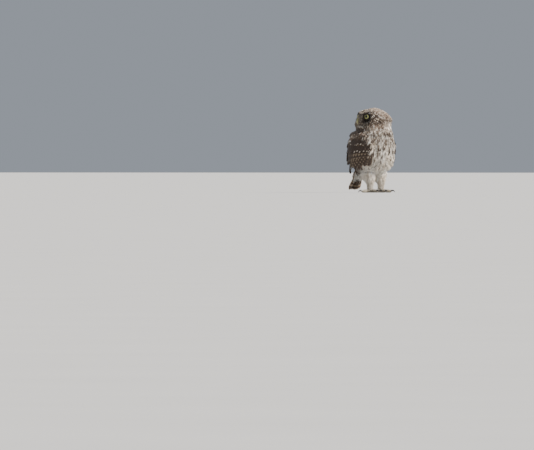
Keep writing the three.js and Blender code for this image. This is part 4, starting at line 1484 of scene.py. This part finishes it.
def make_crown(surface, forms, material):
    """Crown, sides and nape: small feathers, shortest on the crown, with fine pale streaks, and white blotches
    low on the nape."""
    seed, apart, length, width, pitch = 24, 1.2, 5.4, 2.1, 9
    draw = np.random.default_rng(seed)

    def spacing(points, normals):
        head = body_to_head(points)
        zones = head_zones(head)
        covered = np.maximum.reduce([zones["disc"], zones["lores"], zones["brow"]])
        return (covered < 0.5) * (apart + 0.5 * smooth(head[:, 1], 8, -20))

    roots = surface.scatter(spacing, draw, ON_HEAD)
    head = body_to_head(roots["point"])
    count = len(head)
    nape = smooth(head[:, 1], 8, -18)
    ruff = smooth(head[:, 2], -7, -15)
    roots = dressed(roots, draw, length + 3.0 * nape + 4.0 * ruff, width + 1.5 * nape + 1.0 * ruff,
                    pitch + 2 * nape + 5 * ruff)
    streak = on_some(draw, count, 0.3, 0.34) * smooth(nape, 0.95, 0.5)
    spot = on_some(draw, count, 0.25, 0.42) * nape
    accent = mixed(BUFF, WHITE, draw.random(count))
    ground = ground_colour(roots["point"] + draw.normal(scale=1.8, size=(count, 3)))
    roots = coloured(roots, draw, accent, streak, spot, 0.1, ground, 0.22)
    return planted("crown_feathers", roots, forms["tuft"], material, seed)


def make_face(surface, forms, material):
    """The facial disc: fine feathers that radiate from the eyes, smallest and closest at the lids."""
    seed, apart, length, width, pitch = 25, 0.72, 2.8, 0.9, 10
    draw = np.random.default_rng(seed)

    def spacing(points, normals):
        head = body_to_head(points)
        zones = head_zones(head)
        eye_out = from_eyes(head)
        here = (np.maximum(zones["disc"], zones["lores"]) >= 0.3) & (eye_out > EYE_RADIUS + 0.2)
        return here * (apart + 0.4 * smooth(eye_out, 9, 17))

    roots = surface.scatter(spacing, draw, ON_HEAD)
    eye_out = from_eyes(body_to_head(roots["point"]))
    grown = smooth(eye_out, 8, 16)
    roots = dressed(roots, draw, length + 3.0 * grown, width + 0.9 * grown, pitch, 0.08)
    streak = on_some(draw, len(grown), 0.3, 0.4) * smooth(eye_out, 9, 12)
    roots = coloured(roots, draw, CREAM, streak, pale=0.05, vary=0.2)
    return planted("face_feathers", roots, forms["tuft"], material, seed)


def make_brows(surface, forms, material):
    """The brows that run from the bill's root out over each eye: cream, greyed towards brown as painted shade.
    """
    seed, apart, length, width, pitch = 26, 0.95, 3.7, 1.3, 5
    draw = np.random.default_rng(seed)

    def spacing(points, normals):
        return (head_zones(body_to_head(points))["brow"] >= 0.4) * apart

    roots = dressed(surface.scatter(spacing, draw, ON_HEAD), draw, length, width, pitch, 0.1)
    count = len(roots["point"])
    # Cream mixed with grey-brown: the brows' own pale colour under painted shade.
    ground = mixed(CREAM, GREY_BROWN, 0.3 + 0.7 * draw.random(count))
    roots = coloured(roots, draw, UMBER, on_some(draw, count, 0.15, 0.3), ground=ground)
    return planted("brow_feathers", roots, forms["tuft"], material, seed)


def make_legs(surface, forms, material):
    """Short soft feathers down the legs to the toes, shortest at the foot."""
    seed, apart, length, width, pitch = 27, 1.3, 4.6, 1.5, 10
    draw = np.random.default_rng(seed)

    def spacing(points, normals):
        return apart + 0.6 * smooth(points[:, 2], 16, 34)

    roots = surface.scatter(spacing, draw, ON_LEG)
    grown = smooth(roots["point"][:, 2], 12, 34)
    roots = dressed(roots, draw, length + 4.6 * grown, width + 1.8 * grown, pitch, 0.16)
    roots = coloured(roots, draw, BUFF, pale=0.3, vary=0.08)
    return planted("leg_feathers", roots, forms["tuft"], material, seed)


def make_tail_coverts(surface, forms, materials):
    """Brown rounded feathers over the root of the tail, and loose white ones below it."""
    seed, apart, length, pitch = 28, 2.0, 11.5, 7
    pieces = []
    for name, above, kind, width, ground in (("upper_tail_coverts", True, "broad", 6.4, BROWN),
                                             ("under_tail_coverts", False, "loose", 5.2, WHITE)):
        draw = np.random.default_rng(seed + above)

        def spacing(points, normals, above=above):
            return ((normals[:, 1] > 0.2) == above) * apart

        roots = dressed(surface.scatter(spacing, draw, ON_TAIL), draw, length, width, pitch, 0.1)
        count = len(roots["point"])
        spot = on_some(draw, count, 0.25, 0.36) * above
        roots = coloured(roots, draw, CREAM, 0, spot, 0.15, ground)
        pieces.append(planted(name, roots, forms[kind], materials[kind], seed))
    return pieces


def make_wing_coverts(surface, forms, material, side_name):
    """The smallest coverts, over the bend of the wing: dark brown with small pale spots."""
    seed, apart, length, width, pitch = 29, 2.1, 8.0, 4.4, 6
    side = SIDES[side_name]
    draw = np.random.default_rng(seed + (side < 0))

    def spacing(points, normals):
        return ((points[:, 0] * side > 0) & (points[:, 2] > 84)) * apart

    roots = dressed(surface.scatter(spacing, draw, ON_WING), draw, length, width, pitch, 0.08)
    spot = on_some(draw, len(roots["point"]), 0.12, 0.42)
    roots = coloured(roots, draw, CREAM, spot=spot, pale=0.06, vary=0.16)
    return planted(f"wing_coverts_{side_name}", roots, forms["broad"], material, seed)


# Flight feathers, tail feathers and larger coverts, each laid one by one


VANE_COLUMNS = np.array([-1, -0.72, -0.42, -0.14, 0, 0.14, 0.42, 0.72, 1])
VANE_STEPS = 26


def blade(surface, root, tip, width, draw, camber=0.35, tilt=1.0, thick=0.45, pointed=0.5, shaft=0.1, gaps=2):
    """One large feather over a surface, closed and thin, with its shaft as a ridge and splits in its vane."""
    t = np.linspace(0, 1, VANE_STEPS) ** 0.9
    root, tip = np.asarray(root, float), np.asarray(tip, float)
    line = root + (tip - root) * t[:, None]
    middle = surface(*line.T)
    lifted = surface(line[:, 0], line[:, 1], line[:, 2] + 1)
    out = unit(lifted - middle)
    ahead = unit(np.gradient(middle, axis=0))
    across = unit(np.cross(out, ahead))
    fall = smooth(t, 0, 0.4) * 0.78 + 0.22
    end = np.sqrt(1 - 0.985 * np.clip((t - 1 + pointed) / pointed, 0, 1) ** 2)
    half = width / 2 * fall * end
    splits = np.ones((VANE_STEPS, 2))
    for _ in range(gaps):
        splits[draw.integers(8, VANE_STEPS - 4), draw.integers(0, 2)] = draw.uniform(0.8, 0.92)
    u = VANE_COLUMNS
    reach = half[:, None] * u * np.where(np.abs(u) == 1, np.where(u < 0, splits[:, :1], splits[:, 1:]), 1)
    reach = reach * np.where(u < 0, 1 - shaft, 1 + shaft)
    height = -camber * u ** 2 - tilt * u + 0.22 * (u == 0)
    swept = -0.1 * width * u ** 2 * smooth(t, 0, 0.3)[:, None]
    top = middle[:, None] + across[:, None] * reach[..., None] + out[:, None] * height[:, None] \
        + ahead[:, None] * (swept * end[:, None])[..., None]
    bottom = top - out[:, None] * (thick * (1 - u ** 4))[:, None]
    rows, columns = top.shape[:2]
    size = rows * columns
    index = np.arange(size).reshape(rows, columns)
    under = index + size
    under[:, 0], under[:, -1] = index[:, 0], index[:, -1]
    quads = grid_faces(rows, columns)
    low = under.ravel()[quads][:, ::-1]
    faces = quads.tolist() + low.tolist()
    for edge, flip in ((0, False), (rows - 1, True)):
        for c in range(columns - 1):
            ring = (index[edge, c + 1], index[edge, c], under[edge, c], under[edge, c + 1])
            ring = tuple(dict.fromkeys(int(i) for i in (ring[::-1] if flip else ring)))
            faces.append(ring)
    vane = np.stack(np.broadcast_arrays(u * 0.5 + 0.5, t[:, None]), -1).reshape(-1, 2)
    return Shape(np.vstack([top.reshape(-1, 3), bottom.reshape(-1, 3)]), faces, np.vstack([vane, vane]))


def feather_set(name, blades, material):
    """Blades joined to one piece, each with a cell of its own on the bake map: its top to the left, its
    underside to the right."""
    cells = math.ceil(math.sqrt(len(blades)))
    points, faces, vanes, bakes, own, total = [], [], [], [], [], 0
    for k, shape in enumerate(blades):
        corner = np.array([k % cells, k // cells])
        points.append(shape.points)
        own += [(k + 0.5) / len(blades)] * len(shape.points)
        half = len(shape.vane) // 2
        for face in shape.faces:
            faces.append(tuple(i + total for i in face))
            ids = list(face)
            across = 0.5 if max(ids) >= half else 0.0
            vanes += [shape.vane[i] for i in ids]
            bakes += [(corner + shape.vane[i] * (0.46, 0.94) + (0.02 + across, 0.03)) / cells for i in ids]
        total += len(shape.points)
    piece = make_object(name, Shape(np.vstack(points), faces, vanes, bakes), material)
    vertex_value(piece.data, "own", own)
    return piece


# Tiers of the left wing: name, count, width, root and tip as (height, angle, lift) at the front and the back,
# and how far the tips in the middle of the row hang below a line between its ends
TIERS = [
    ("primaries", 9, 12.5, (80, 56, 0.7), (82, 102, 0.7), (52, 61, -1.5), (37, 161, -2.5), -4),
    ("secondaries", 12, 10.5, (86, 62, 1), (96, 136, 1), (70, 68, 3.0), (56, 171, 3.4), 3),
    ("tertials", 4, 11, (104, 134, 1.2), (108, 150, 1.2), (63, 158, 5.4), (80, 172, 6), 0),
    ("greater_coverts", 12, 9.5, (96, 57, 0.9), (105, 132, 1), (81, 59, 4.4), (79, 155, 5.2), 1),
    ("median_coverts", 10, 9.5, (108, 57, 0.6), (113, 122, 1), (94, 58, 4.2), (96, 136, 5.2), 1),
    ("scapulars", 7, 11.5, (118, 112, 0.2), (114, 156, 0.4), (101, 124, 5.2), (84, 172, 6.2), 0),
    ("upper_scapulars", 6, 10, (124, 114, -0.8), (121, 158, -0.4), (108, 120, 3.4), (101, 166, 4.8), 0),
]


WIDE_BLADE, ROOT_SINK = 10.8, 0.4


def tier_blades(tier, side, draw):
    """The feathers of one tier from its front to its back, with their roots sunk into the coat."""
    name, count, width, root_front, root_back, tip_front, tip_back, hang = tier
    blades = []
    for k in range(count):
        t = k / (count - 1)
        root = np.array(root_front) * (1 - t) + np.array(root_back) * t
        tip = np.array(tip_front) * (1 - t) + np.array(tip_back) * t
        tip[0] += -hang * math.sin(math.pi * t) + draw.uniform(-1.5, 1.5)
        root[2] -= ROOT_SINK
        tip[1] += draw.uniform(-0.9, 0.9)
        shape = blade(on_wing, root, tip, width * draw.uniform(0.95, 1.05), draw,
                      pointed=0.3 if width > WIDE_BLADE else 0.38, gaps=0 if name == "primaries" else 2)
        blades.append(on_side(shape, side))
    return blades


def make_wing(side_name, finishes):
    side = SIDES[side_name]
    draw = np.random.default_rng(41 + (side < 0))
    return [feather_set(f"{tier[0]}_{side_name}", tier_blades(tier, side, draw), finishes[tier[0]])
            for tier in TIERS]


def make_tail(material):
    """Twelve tail feathers, the middle pair on top, the left one of them over the right."""
    draw = np.random.default_rng(51)
    width, step = 9.4, 0.9
    blades = []
    for side in SIDES.values():
        for pair in range(6):
            lift = step if side > 0 and pair == 0 else -step * pair
            root = (30, side * (1.4 + 0.9 * pair), lift)
            tip = (TAIL_LENGTH - 0.2 * pair ** 2 + draw.uniform(-0.6, 0.6), side * (3 + 2.6 * pair), lift)
            blades.append(blade(on_tail, root, tip, width, draw, camber=0.2, tilt=0.0, pointed=0.16))
    return feather_set("tail_feathers", blades, material)


# Eyes, lids and bill


def eye_ball(side_name, material):
    """The eyeball with its cornea standing a little proud, and a map of the iris from its middle out."""
    side = SIDES[side_name]
    middle, axes = eye_frame(side)
    rings, around = 40, 64
    polar = np.linspace(0.02, math.pi - 0.02, rings)
    turn = np.linspace(0, 2 * math.pi, around, endpoint=False)
    out = EYE_RADIUS * (1 + 0.035 * smooth(polar, 0.8, 0.2))[:, None]
    local = np.stack([
        out * np.sin(polar)[:, None] * np.cos(turn),
        out * np.cos(polar)[:, None] * np.ones(around),
        out * np.sin(polar)[:, None] * np.sin(turn),
    ], -1)
    shape = closed_loft(head_to_body(local @ axes.T + middle))
    seen = math.asin(EYE_APERTURE / EYE_RADIUS)
    far = np.concatenate([np.repeat(polar / seen, around), [0, 3.4]])
    angle = np.concatenate([np.tile(turn / (2 * math.pi), rings), [0, 0]])
    vane = []
    for face in shape.faces:
        turns = np.array([angle[i] for i in face])
        if turns.max() - turns.min() > 0.5:
            turns = np.where(turns < 0.5, turns + 1, turns)
        vane += [(a, min(far[i], 4.0)) for a, i in zip(turns, face)]
    shape.vane = vane
    return make_object(f"eyeball_{side_name}", shape, material)


LID_OUTER, UPPER_CUT, LOWER_CUT, LID_SLANT = 6.9, 0.66, 0.84, 0.22


def lid_ring(side_name, material):
    """The lids as one soft band round the eye. The upper one is drawn straight across the top of the iris,
    lower towards the bill, which gives the owl its frown, and the lower one less far across its foot."""
    side = SIDES[side_name]
    middle, axes = eye_frame(side)
    turn = np.linspace(0, 2 * math.pi, 96, endpoint=False)
    line = np.sin(turn) - LID_SLANT * np.cos(turn) * side
    cut = np.where(line > 0, UPPER_CUT, LOWER_CUT) * EYE_APERTURE / np.maximum(np.abs(line), 0.05)
    inner = -np.log(np.exp(-2.5 * EYE_APERTURE) + np.exp(-2.5 * np.minimum(cut, 20))) / 2.5
    t = np.linspace(0, 1, 12)
    rim = np.sqrt(np.maximum(EYE_RADIUS ** 2 - inner ** 2, 0))
    out = inner[:, None] + (LID_OUTER - inner)[:, None] * t
    outer_edge = DISH_DEPTH + DISH_SLOPE * LID_OUTER - 0.5 - 1.7 * smooth(np.sin(turn), 0.1, 0.8)[:, None]
    fall = smooth(t, 0.1, 1.0)
    over = (rim[:, None] + 0.35) * (1 - fall) + outer_edge * fall + 0.3 * bump(t - 0.16, 0.12)
    over = np.maximum(over, np.sqrt(np.maximum(EYE_RADIUS ** 2 - out ** 2, 0)) + 0.25)
    over[:, 0] -= 0.3
    radius = np.concatenate([out, out[:, ::-1]], 1)
    height = np.concatenate([over, np.minimum(over[:, ::-1], rim[:, None]) - 1.2], 1)
    radial = np.stack([np.cos(turn), 0 * turn, np.sin(turn)], -1)
    ring = radial[:, None] * radius[..., None]
    ring[..., 1] = height
    rows, columns = radius.shape
    last = (rows - 1) * columns
    seam = [(last + c, last + (c + 1) % columns, (c + 1) % columns, c) for c in range(columns)]
    faces = np.vstack([grid_faces(rows, columns, closed=True), seam])
    points = head_to_body(ring.reshape(-1, 3) @ axes.T + middle)
    return make_object(f"lids_{side_name}", Shape(points, faces[:, ::-1].tolist()), material)


def with_growth(piece, rings, around, start=0):
    """Marks how far along each ring of a lofted piece lies, from start to 1."""
    share = np.repeat(np.linspace(start, 1, rings), around)
    vertex_value(piece.data, "growth", np.concatenate([share, [start, 1]]))
    return piece


def bill_rings(sections, columns, rows, shape=None):
    stops = [(0, *section) for section in sections]
    return tube_rings(stops, ACROSS, columns, rows, shape)


def upper_bill(material):
    """The hooked upper bill: a ridged culmen, a swollen cere with the nostrils, and a cutting edge below."""
    columns, rows = 56, 72

    def shape(wide, high, angle, t):
        narrowed = 1 - CULMEN * np.maximum(np.sin(angle), 0)
        cere = 1 + 0.09 * bump(t - 0.34, 0.05) * (np.sin(angle) > -0.3)
        tooth = 1 - 0.12 * bump(angle - 1.5 * math.pi, 0.6) * smooth(t, 0.3, 0.6)
        return wide * narrowed * cere, high * cere * tooth

    rings = bill_rings(UPPER_BILL, columns, rows, shape)
    for side in SIDES.values():
        nostril = np.array(NOSTRIL) * (side, 1, 1)
        away = (rings - nostril) / (1, 0.8, 1.25)
        away = np.linalg.norm(away, axis=-1)
        inward = unit(np.array([0, NOSTRIL[1] - 3, NOSTRIL[2] - 2]) - rings)
        rings = rings + inward * (1.5 * bump(away, 0.6) - 0.25 * bump(away - 1.4, 0.4))[..., None]
    piece = make_object("upper_bill", closed_loft(head_to_body(rings)), material)
    return with_growth(piece, rows, columns)


def lower_bill(material):
    """The lower bill, mostly hidden under the upper one's cutting edge."""
    columns, rows = 32, 20
    rings = bill_rings(LOWER_BILL, columns, rows)
    piece = make_object("lower_bill", closed_loft(head_to_body(rings)), material)
    return with_growth(piece, rows, columns, 0.4)


def make_face_bristles(surface, forms, material):
    """Stiff hair-like feathers that curve forward from the lores over the root of the bill."""
    seed, apart, shortest, longest, thickness = 31, 0.62, 4.8, 8.8, 0.34
    draw = np.random.default_rng(seed)

    def spacing(points, normals):
        x, y, z = body_to_head(points).T
        return ((y > 20) & (np.abs(x) < 9) & (z > -12) & (z < 7)) * apart

    roots = surface.scatter(spacing, draw, ON_HEAD)
    x, _, z = body_to_head(roots["point"]).T
    count = len(x)
    out = np.stack([np.sign(x) * (0.1 + 0.045 * np.abs(x)), np.full(count, 0.7), -0.8 - 0.02 * z], -1)
    flow = unit(out + draw.normal(scale=0.18, size=(count, 3))) @ HEAD_TURNED.T
    length = draw.uniform(shortest, longest, count)
    roots["normal"] = unit(np.cross(flow, np.cross(roots["normal"], flow)))
    roots["flow"] = flow
    roots["size"] = np.column_stack([np.full(count, thickness), length, np.full(count, thickness)])
    roots["form"] = draw.integers(0, len(BRISTLE_CURVES), count)
    return planted("face_bristles", coloured(roots, draw, WHITE), forms["bristle"], material, seed)


# Feet and claws


def toe_line(toe, along, z):
    angle = math.radians(toe[0])
    return (LEG_X + math.sin(angle) * along, LEG_Y - math.cos(angle) * along, z)


def across_toe(toe):
    angle = math.radians(toe[0])
    return (math.cos(angle), math.sin(angle), 0)


def make_foot(side_name, material):
    """Instep and four toes, with plump pads below and overlapping scutes above."""
    side = SIDES[side_name]
    parts = []
    for toe in TOES:
        length = toe[1]
        stops = [(*toe_line(toe, 0.5, 4), TOE_RADIUS, TOE_RADIUS),
                 (*toe_line(toe, length * 0.4, 3.6), TOE_RADIUS * 0.92, TOE_RADIUS * 0.92),
                 (*toe_line(toe, length * 0.75, 2.7), TOE_RADIUS, TOE_RADIUS),
                 (*toe_line(toe, length, 2.9), TOE_RADIUS * 0.74, TOE_RADIUS * 0.74)]

        def shape(wide, high, angle, t, length=length):
            scute = (t * length / 2.1) % 1
            above = smooth(np.sin(angle), -0.1, 0.5)
            step = 1 + 0.09 * above * (scute - 0.5)
            pads = 1 + 0.09 * smooth(-np.sin(angle), 0.1, 0.7) * np.sin(t * 3 * math.pi) ** 2
            return wide * step * pads, high * step * pads

        parts.append(closed_loft(tube_rings(stops, across_toe(toe), 28, 60, shape)))
    instep = [(LEG_X, LEG_Y, -1, 6.2, 6.2), (LEG_X, LEG_Y, 3, 6.5, 6.5), (LEG_X, LEG_Y, 7, 5.9, 5.9),
              (LEG_X, LEG_Y, ANKLE + 0.5, 5.3, 5.3)]
    parts.append(closed_loft(tube_rings(instep, ACROSS, 36, 16)))
    piece = above_floor(fused(make_object(f"toes_{side_name}", on_side(merged(parts), side)), TOE_VOXEL, 2))
    piece.data.shade_smooth()
    return finished(piece, material)


def make_claw(side_name, number, toe, material):
    """A curved claw, flattened from side to side, with a groove along its underside."""
    side = SIDES[side_name]
    columns, rows = 20, 30
    start = toe[1] + GAP
    stops = [(*toe_line(toe, start - 0.9, 2.9), 1.55, 1.95),
             (*toe_line(toe, start + CLAW_LENGTH * 0.3, 4.1), 1.3, 1.7),
             (*toe_line(toe, start + CLAW_LENGTH * 0.62, 3.4), 0.9, 1.15),
             (*toe_line(toe, start + CLAW_LENGTH * 0.84, 0.55), 0.22, 0.32)]

    def shape(wide, high, angle, t):
        groove = 1 - 0.22 * bump(np.cos(angle), 0.3) * (np.sin(angle) < 0)
        return wide, high * groove

    rings = tube_rings(stops, across_toe(toe), columns, rows, shape) * (side, 1, 1)
    rings[..., 2] = np.maximum(rings[..., 2], 0)
    piece = make_object(f"talon_{side_name}_{number}", closed_loft(rings), material)
    return with_growth(piece, rows, columns)


def make_toe_bristles(pieces, forms, material):
    """Pale bristles over the tops of the toes, sparser and shorter towards the claws. Their patches on the
    bake map lie as the feet do on the floor."""
    seed, apart, length, thickness, pitch = 33, 1.15, 4.4, 0.32, 24
    map_reach = 60
    made = []
    for side_name, foot in pieces.items():
        draw = np.random.default_rng(seed)
        surface = Surface(foot.data, rounds=0)

        def spacing(points, normals):
            out = np.hypot(np.abs(points[:, 0]) - LEG_X, points[:, 1] - LEG_Y)
            return ((normals[:, 2] > 0.05) & (points[:, 2] > 1.5)) * (apart + 0.7 * smooth(out, 6, 20))

        roots = surface.scatter(spacing, draw)
        from_leg = roots["point"] - (LEG_X * SIDES[side_name], LEG_Y, 0)
        flow = unit(from_leg * (1, 1, 0)) + (0, 0, -0.15)
        flow = along_skin(flow + draw.normal(scale=0.2, size=flow.shape), roots["normal"])
        out = np.hypot(from_leg[:, 0], from_leg[:, 1])
        roots = dressed(roots, draw, length - 1.8 * smooth(out, 8, 20), thickness, pitch, flow=flow,
                        variants=len(BRISTLE_CURVES))
        roots["size"][:, [0, 2]] = thickness
        roots["root_uv"] = (roots["point"][:, :2] + map_reach) / (2 * map_reach)
        roots = coloured(roots, draw, WHITE)
        made.append(above_floor(planted(f"toe_bristles_{side_name}", roots, forms["bristle"], material, seed)))
    return made


# Studio: floor, light and camera

PICTURE_WIDTH, PICTURE_HEIGHT = 534, 450
CAMERA_AZIMUTH = math.radians(-50)  # as the breast turns away to the right of the picture
CAMERA_DISTANCE = 20.0
CAMERA_HEIGHT = 0.05
PIXEL = 0.002  # metres at the owl
OWL_PIXEL = (372, 192.6)  # the owl's own axis where it meets the floor


def make_studio():
    scene = bpy.context.scene
    floor_finish = Finish("floor", 0.75, Specular_IOR_Level=0.2)
    grain = floor_finish.noise(14.0, 3.0)
    floor_finish.colour(floor_finish.mix(grain, (0.6, 0.595, 0.58), (0.66, 0.655, 0.64)))
    mesh = bpy.data.meshes.new("floor")
    reach = 60.0
    corners = [(-reach, -reach, 0), (reach, -reach, 0), (reach, reach, 0), (-reach, reach, 0)]
    mesh.from_pydata(corners, [], [(0, 1, 2, 3)])
    floor = bpy.data.objects.new("floor", mesh)
    scene.collection.objects.link(floor)
    mesh.materials.append(floor_finish.material)

    world = bpy.data.worlds.new("studio")
    scene.world = world
    world.use_nodes = True
    background = world.node_tree.nodes["Background"]
    background.inputs["Color"].default_value = (0.8, 0.88, 1.0, 1)
    background.inputs["Strength"].default_value = 0.37

    to_camera = np.array([math.sin(CAMERA_AZIMUTH), -math.cos(CAMERA_AZIMUTH), 0])
    right = np.array([math.cos(CAMERA_AZIMUTH), math.sin(CAMERA_AZIMUTH), 0])
    up = np.array([0, 0, 1.0])

    def frame_for(ahead):
        """The turn of something that looks along ahead, down its own -Z."""
        z = unit(-ahead)
        x = unit(np.cross(up, z))
        return Matrix(np.column_stack([x, np.cross(z, x), z]).tolist()).to_4x4()

    def distant_light(name, where, strength, softness, colour):
        lamp = bpy.data.lights.new(name, "SUN")
        lamp.energy = strength
        lamp.angle = math.radians(softness)
        lamp.color = colour
        light = bpy.data.objects.new(name, lamp)
        light.matrix_world = frame_for(-where)
        scene.collection.objects.link(light)

    from_right = right + to_camera * 0.3 + up * 0.75
    from_behind = -to_camera * 0.9 - right * 0.4 + up * 1.1
    distant_light("key", from_right, strength=7.8, softness=12, colour=(1.0, 0.94, 0.87))
    distant_light("back", from_behind, strength=0.7, softness=30, colour=(0.93, 0.96, 1.0))

    camera = bpy.data.objects.new("camera", bpy.data.cameras.new("camera"))
    scene.collection.objects.link(camera)
    scene.camera = camera
    camera.data.lens = camera.data.sensor_width * CAMERA_DISTANCE / (PICTURE_WIDTH * PIXEL)
    aside = (PICTURE_WIDTH / 2 - OWL_PIXEL[0]) * PIXEL
    below = (OWL_PIXEL[1] - PICTURE_HEIGHT / 2) * PIXEL
    aim = to_row((0, 0, 0)) * (1, 1, 0) + right * aside + up * below
    place = aim * (1, 1, 0) + to_camera * CAMERA_DISTANCE + up * CAMERA_HEIGHT
    camera.matrix_world = Matrix.Translation(place) @ frame_for(aim - place)
    camera.data.clip_end = 200.0


def main():
    make_studio()
    skin = make_skin()
    surface = Surface(skin.data)
    vertex_colour(skin.data, "ground", ground_colour(surface.points))
    finished(skin, skin_finish("downy skin"))
    forms = make_forms()

    soft = coat_finish("loose body feathers", 80.0, 0.9)
    firm = coat_finish("close body feathers", 110.0, 0.8)
    fine = coat_finish("fine head feathers", 60.0, 0.88)
    # The face bristles' roots greyed from cream towards brown as painted shade; their dark tips are their own
    # colour.
    stiff = bristle_finish("face bristles", mixed(CREAM, GREY_BROWN, 0.5), DUSK)
    coat = ((make_breast, soft), (make_streaks, soft), (make_belly, soft), (make_back, firm),
            (make_mantle, firm), (make_crown, fine), (make_face, fine), (make_brows, fine),
            (make_face_bristles, stiff))
    body = [make(surface, forms, material) for make, material in coat]
    legs = [make_legs(surface, forms, soft)]
    tail_coverts = make_tail_coverts(surface, forms, {"broad": firm, "loose": soft})
    tail = make_tail(flight_finish("tail feathers", BROWN, BUFF, bars=5.6, through=0.85, fringe=0.5))
    dull_buff = [0.52 * c for c in BUFF]
    marks = {
        "primaries": (UMBER, dull_buff, dict(bars=6.0, through=0.15)),
        "secondaries": (UMBER, dull_buff, dict(bars=3.0, through=0.2)),
        "tertials": (UMBER, BUFF, dict(bars=3.0, through=0.4)),
        "greater_coverts": (UMBER, CREAM, dict(spots=[(-0.5, 0.86, 0.34, 0.07)], fringe=0.15)),
        "median_coverts": (UMBER, CREAM, dict(spots=[(-0.42, 0.85, 0.32, 0.075)], fringe=0.12)),
        "scapulars": (BROWN, WHITE, dict(spots=[(-0.35, 0.82, 0.42, 0.085)], fringe=0.2)),
    }
    wing_finishes = {tier: flight_finish(tier.replace("_", " "), ground, pale, **ways)
                     for tier, (ground, pale, ways) in marks.items()}
    wing_finishes["upper_scapulars"] = wing_finishes["scapulars"]
    wings = {}
    for side_name in SIDES:
        wings[side_name] = make_wing(side_name, wing_finishes)
        wings[side_name].append(make_wing_coverts(surface, forms, firm, side_name))

    eye, lid = eye_finish("eye"), lid_finish("eyelid")
    horn, talon, toe = bill_finish("bill"), claw_finish("talon"), toe_finish("toe skin")
    bill = {"beak_upper": upper_bill(horn), "beak_lower": lower_bill(horn)}
    feet = {side_name: make_foot(side_name, toe) for side_name in SIDES}
    bristles = make_toe_bristles(feet, forms, bristle_finish("toe bristles", WHITE, CREAM))
    drop_forms(forms)

    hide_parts("torso", "neck", "head", "leg_left", "leg_right")
    shown = [(skin, "plumage")]
    shown += [(piece, "plumage") for piece in body]
    shown += [(piece, "pale_plumage") for piece in legs + tail_coverts[1:] + bristles]
    shown += [(tail, "flight_feathers"), (tail_coverts[0], "plumage")]
    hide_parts("tail")
    for side_name, pieces in wings.items():
        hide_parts(f"wing_{side_name}")
        shown += [(piece, "flight_feathers") for piece in pieces]
    for node, piece in bill.items():
        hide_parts(node)
        shown.append((piece, "bill_horn"))
    for side_name, foot in feet.items():
        ball = eye_ball(side_name, eye)
        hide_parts(f"eye_{side_name}")
        shown += [(ball, "eye"), (lid_ring(side_name, lid), "toe_skin"), (foot, "toe_skin")]
        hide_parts(f"foot_{side_name}")
        for number, each in enumerate(TOES, 1):
            claw = make_claw(side_name, number, each, talon)
            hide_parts(f"claw_{side_name}_{number}")
            shown.append((claw, "claw_horn"))
    for piece, slot in shown:
        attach(piece, "root")


main()
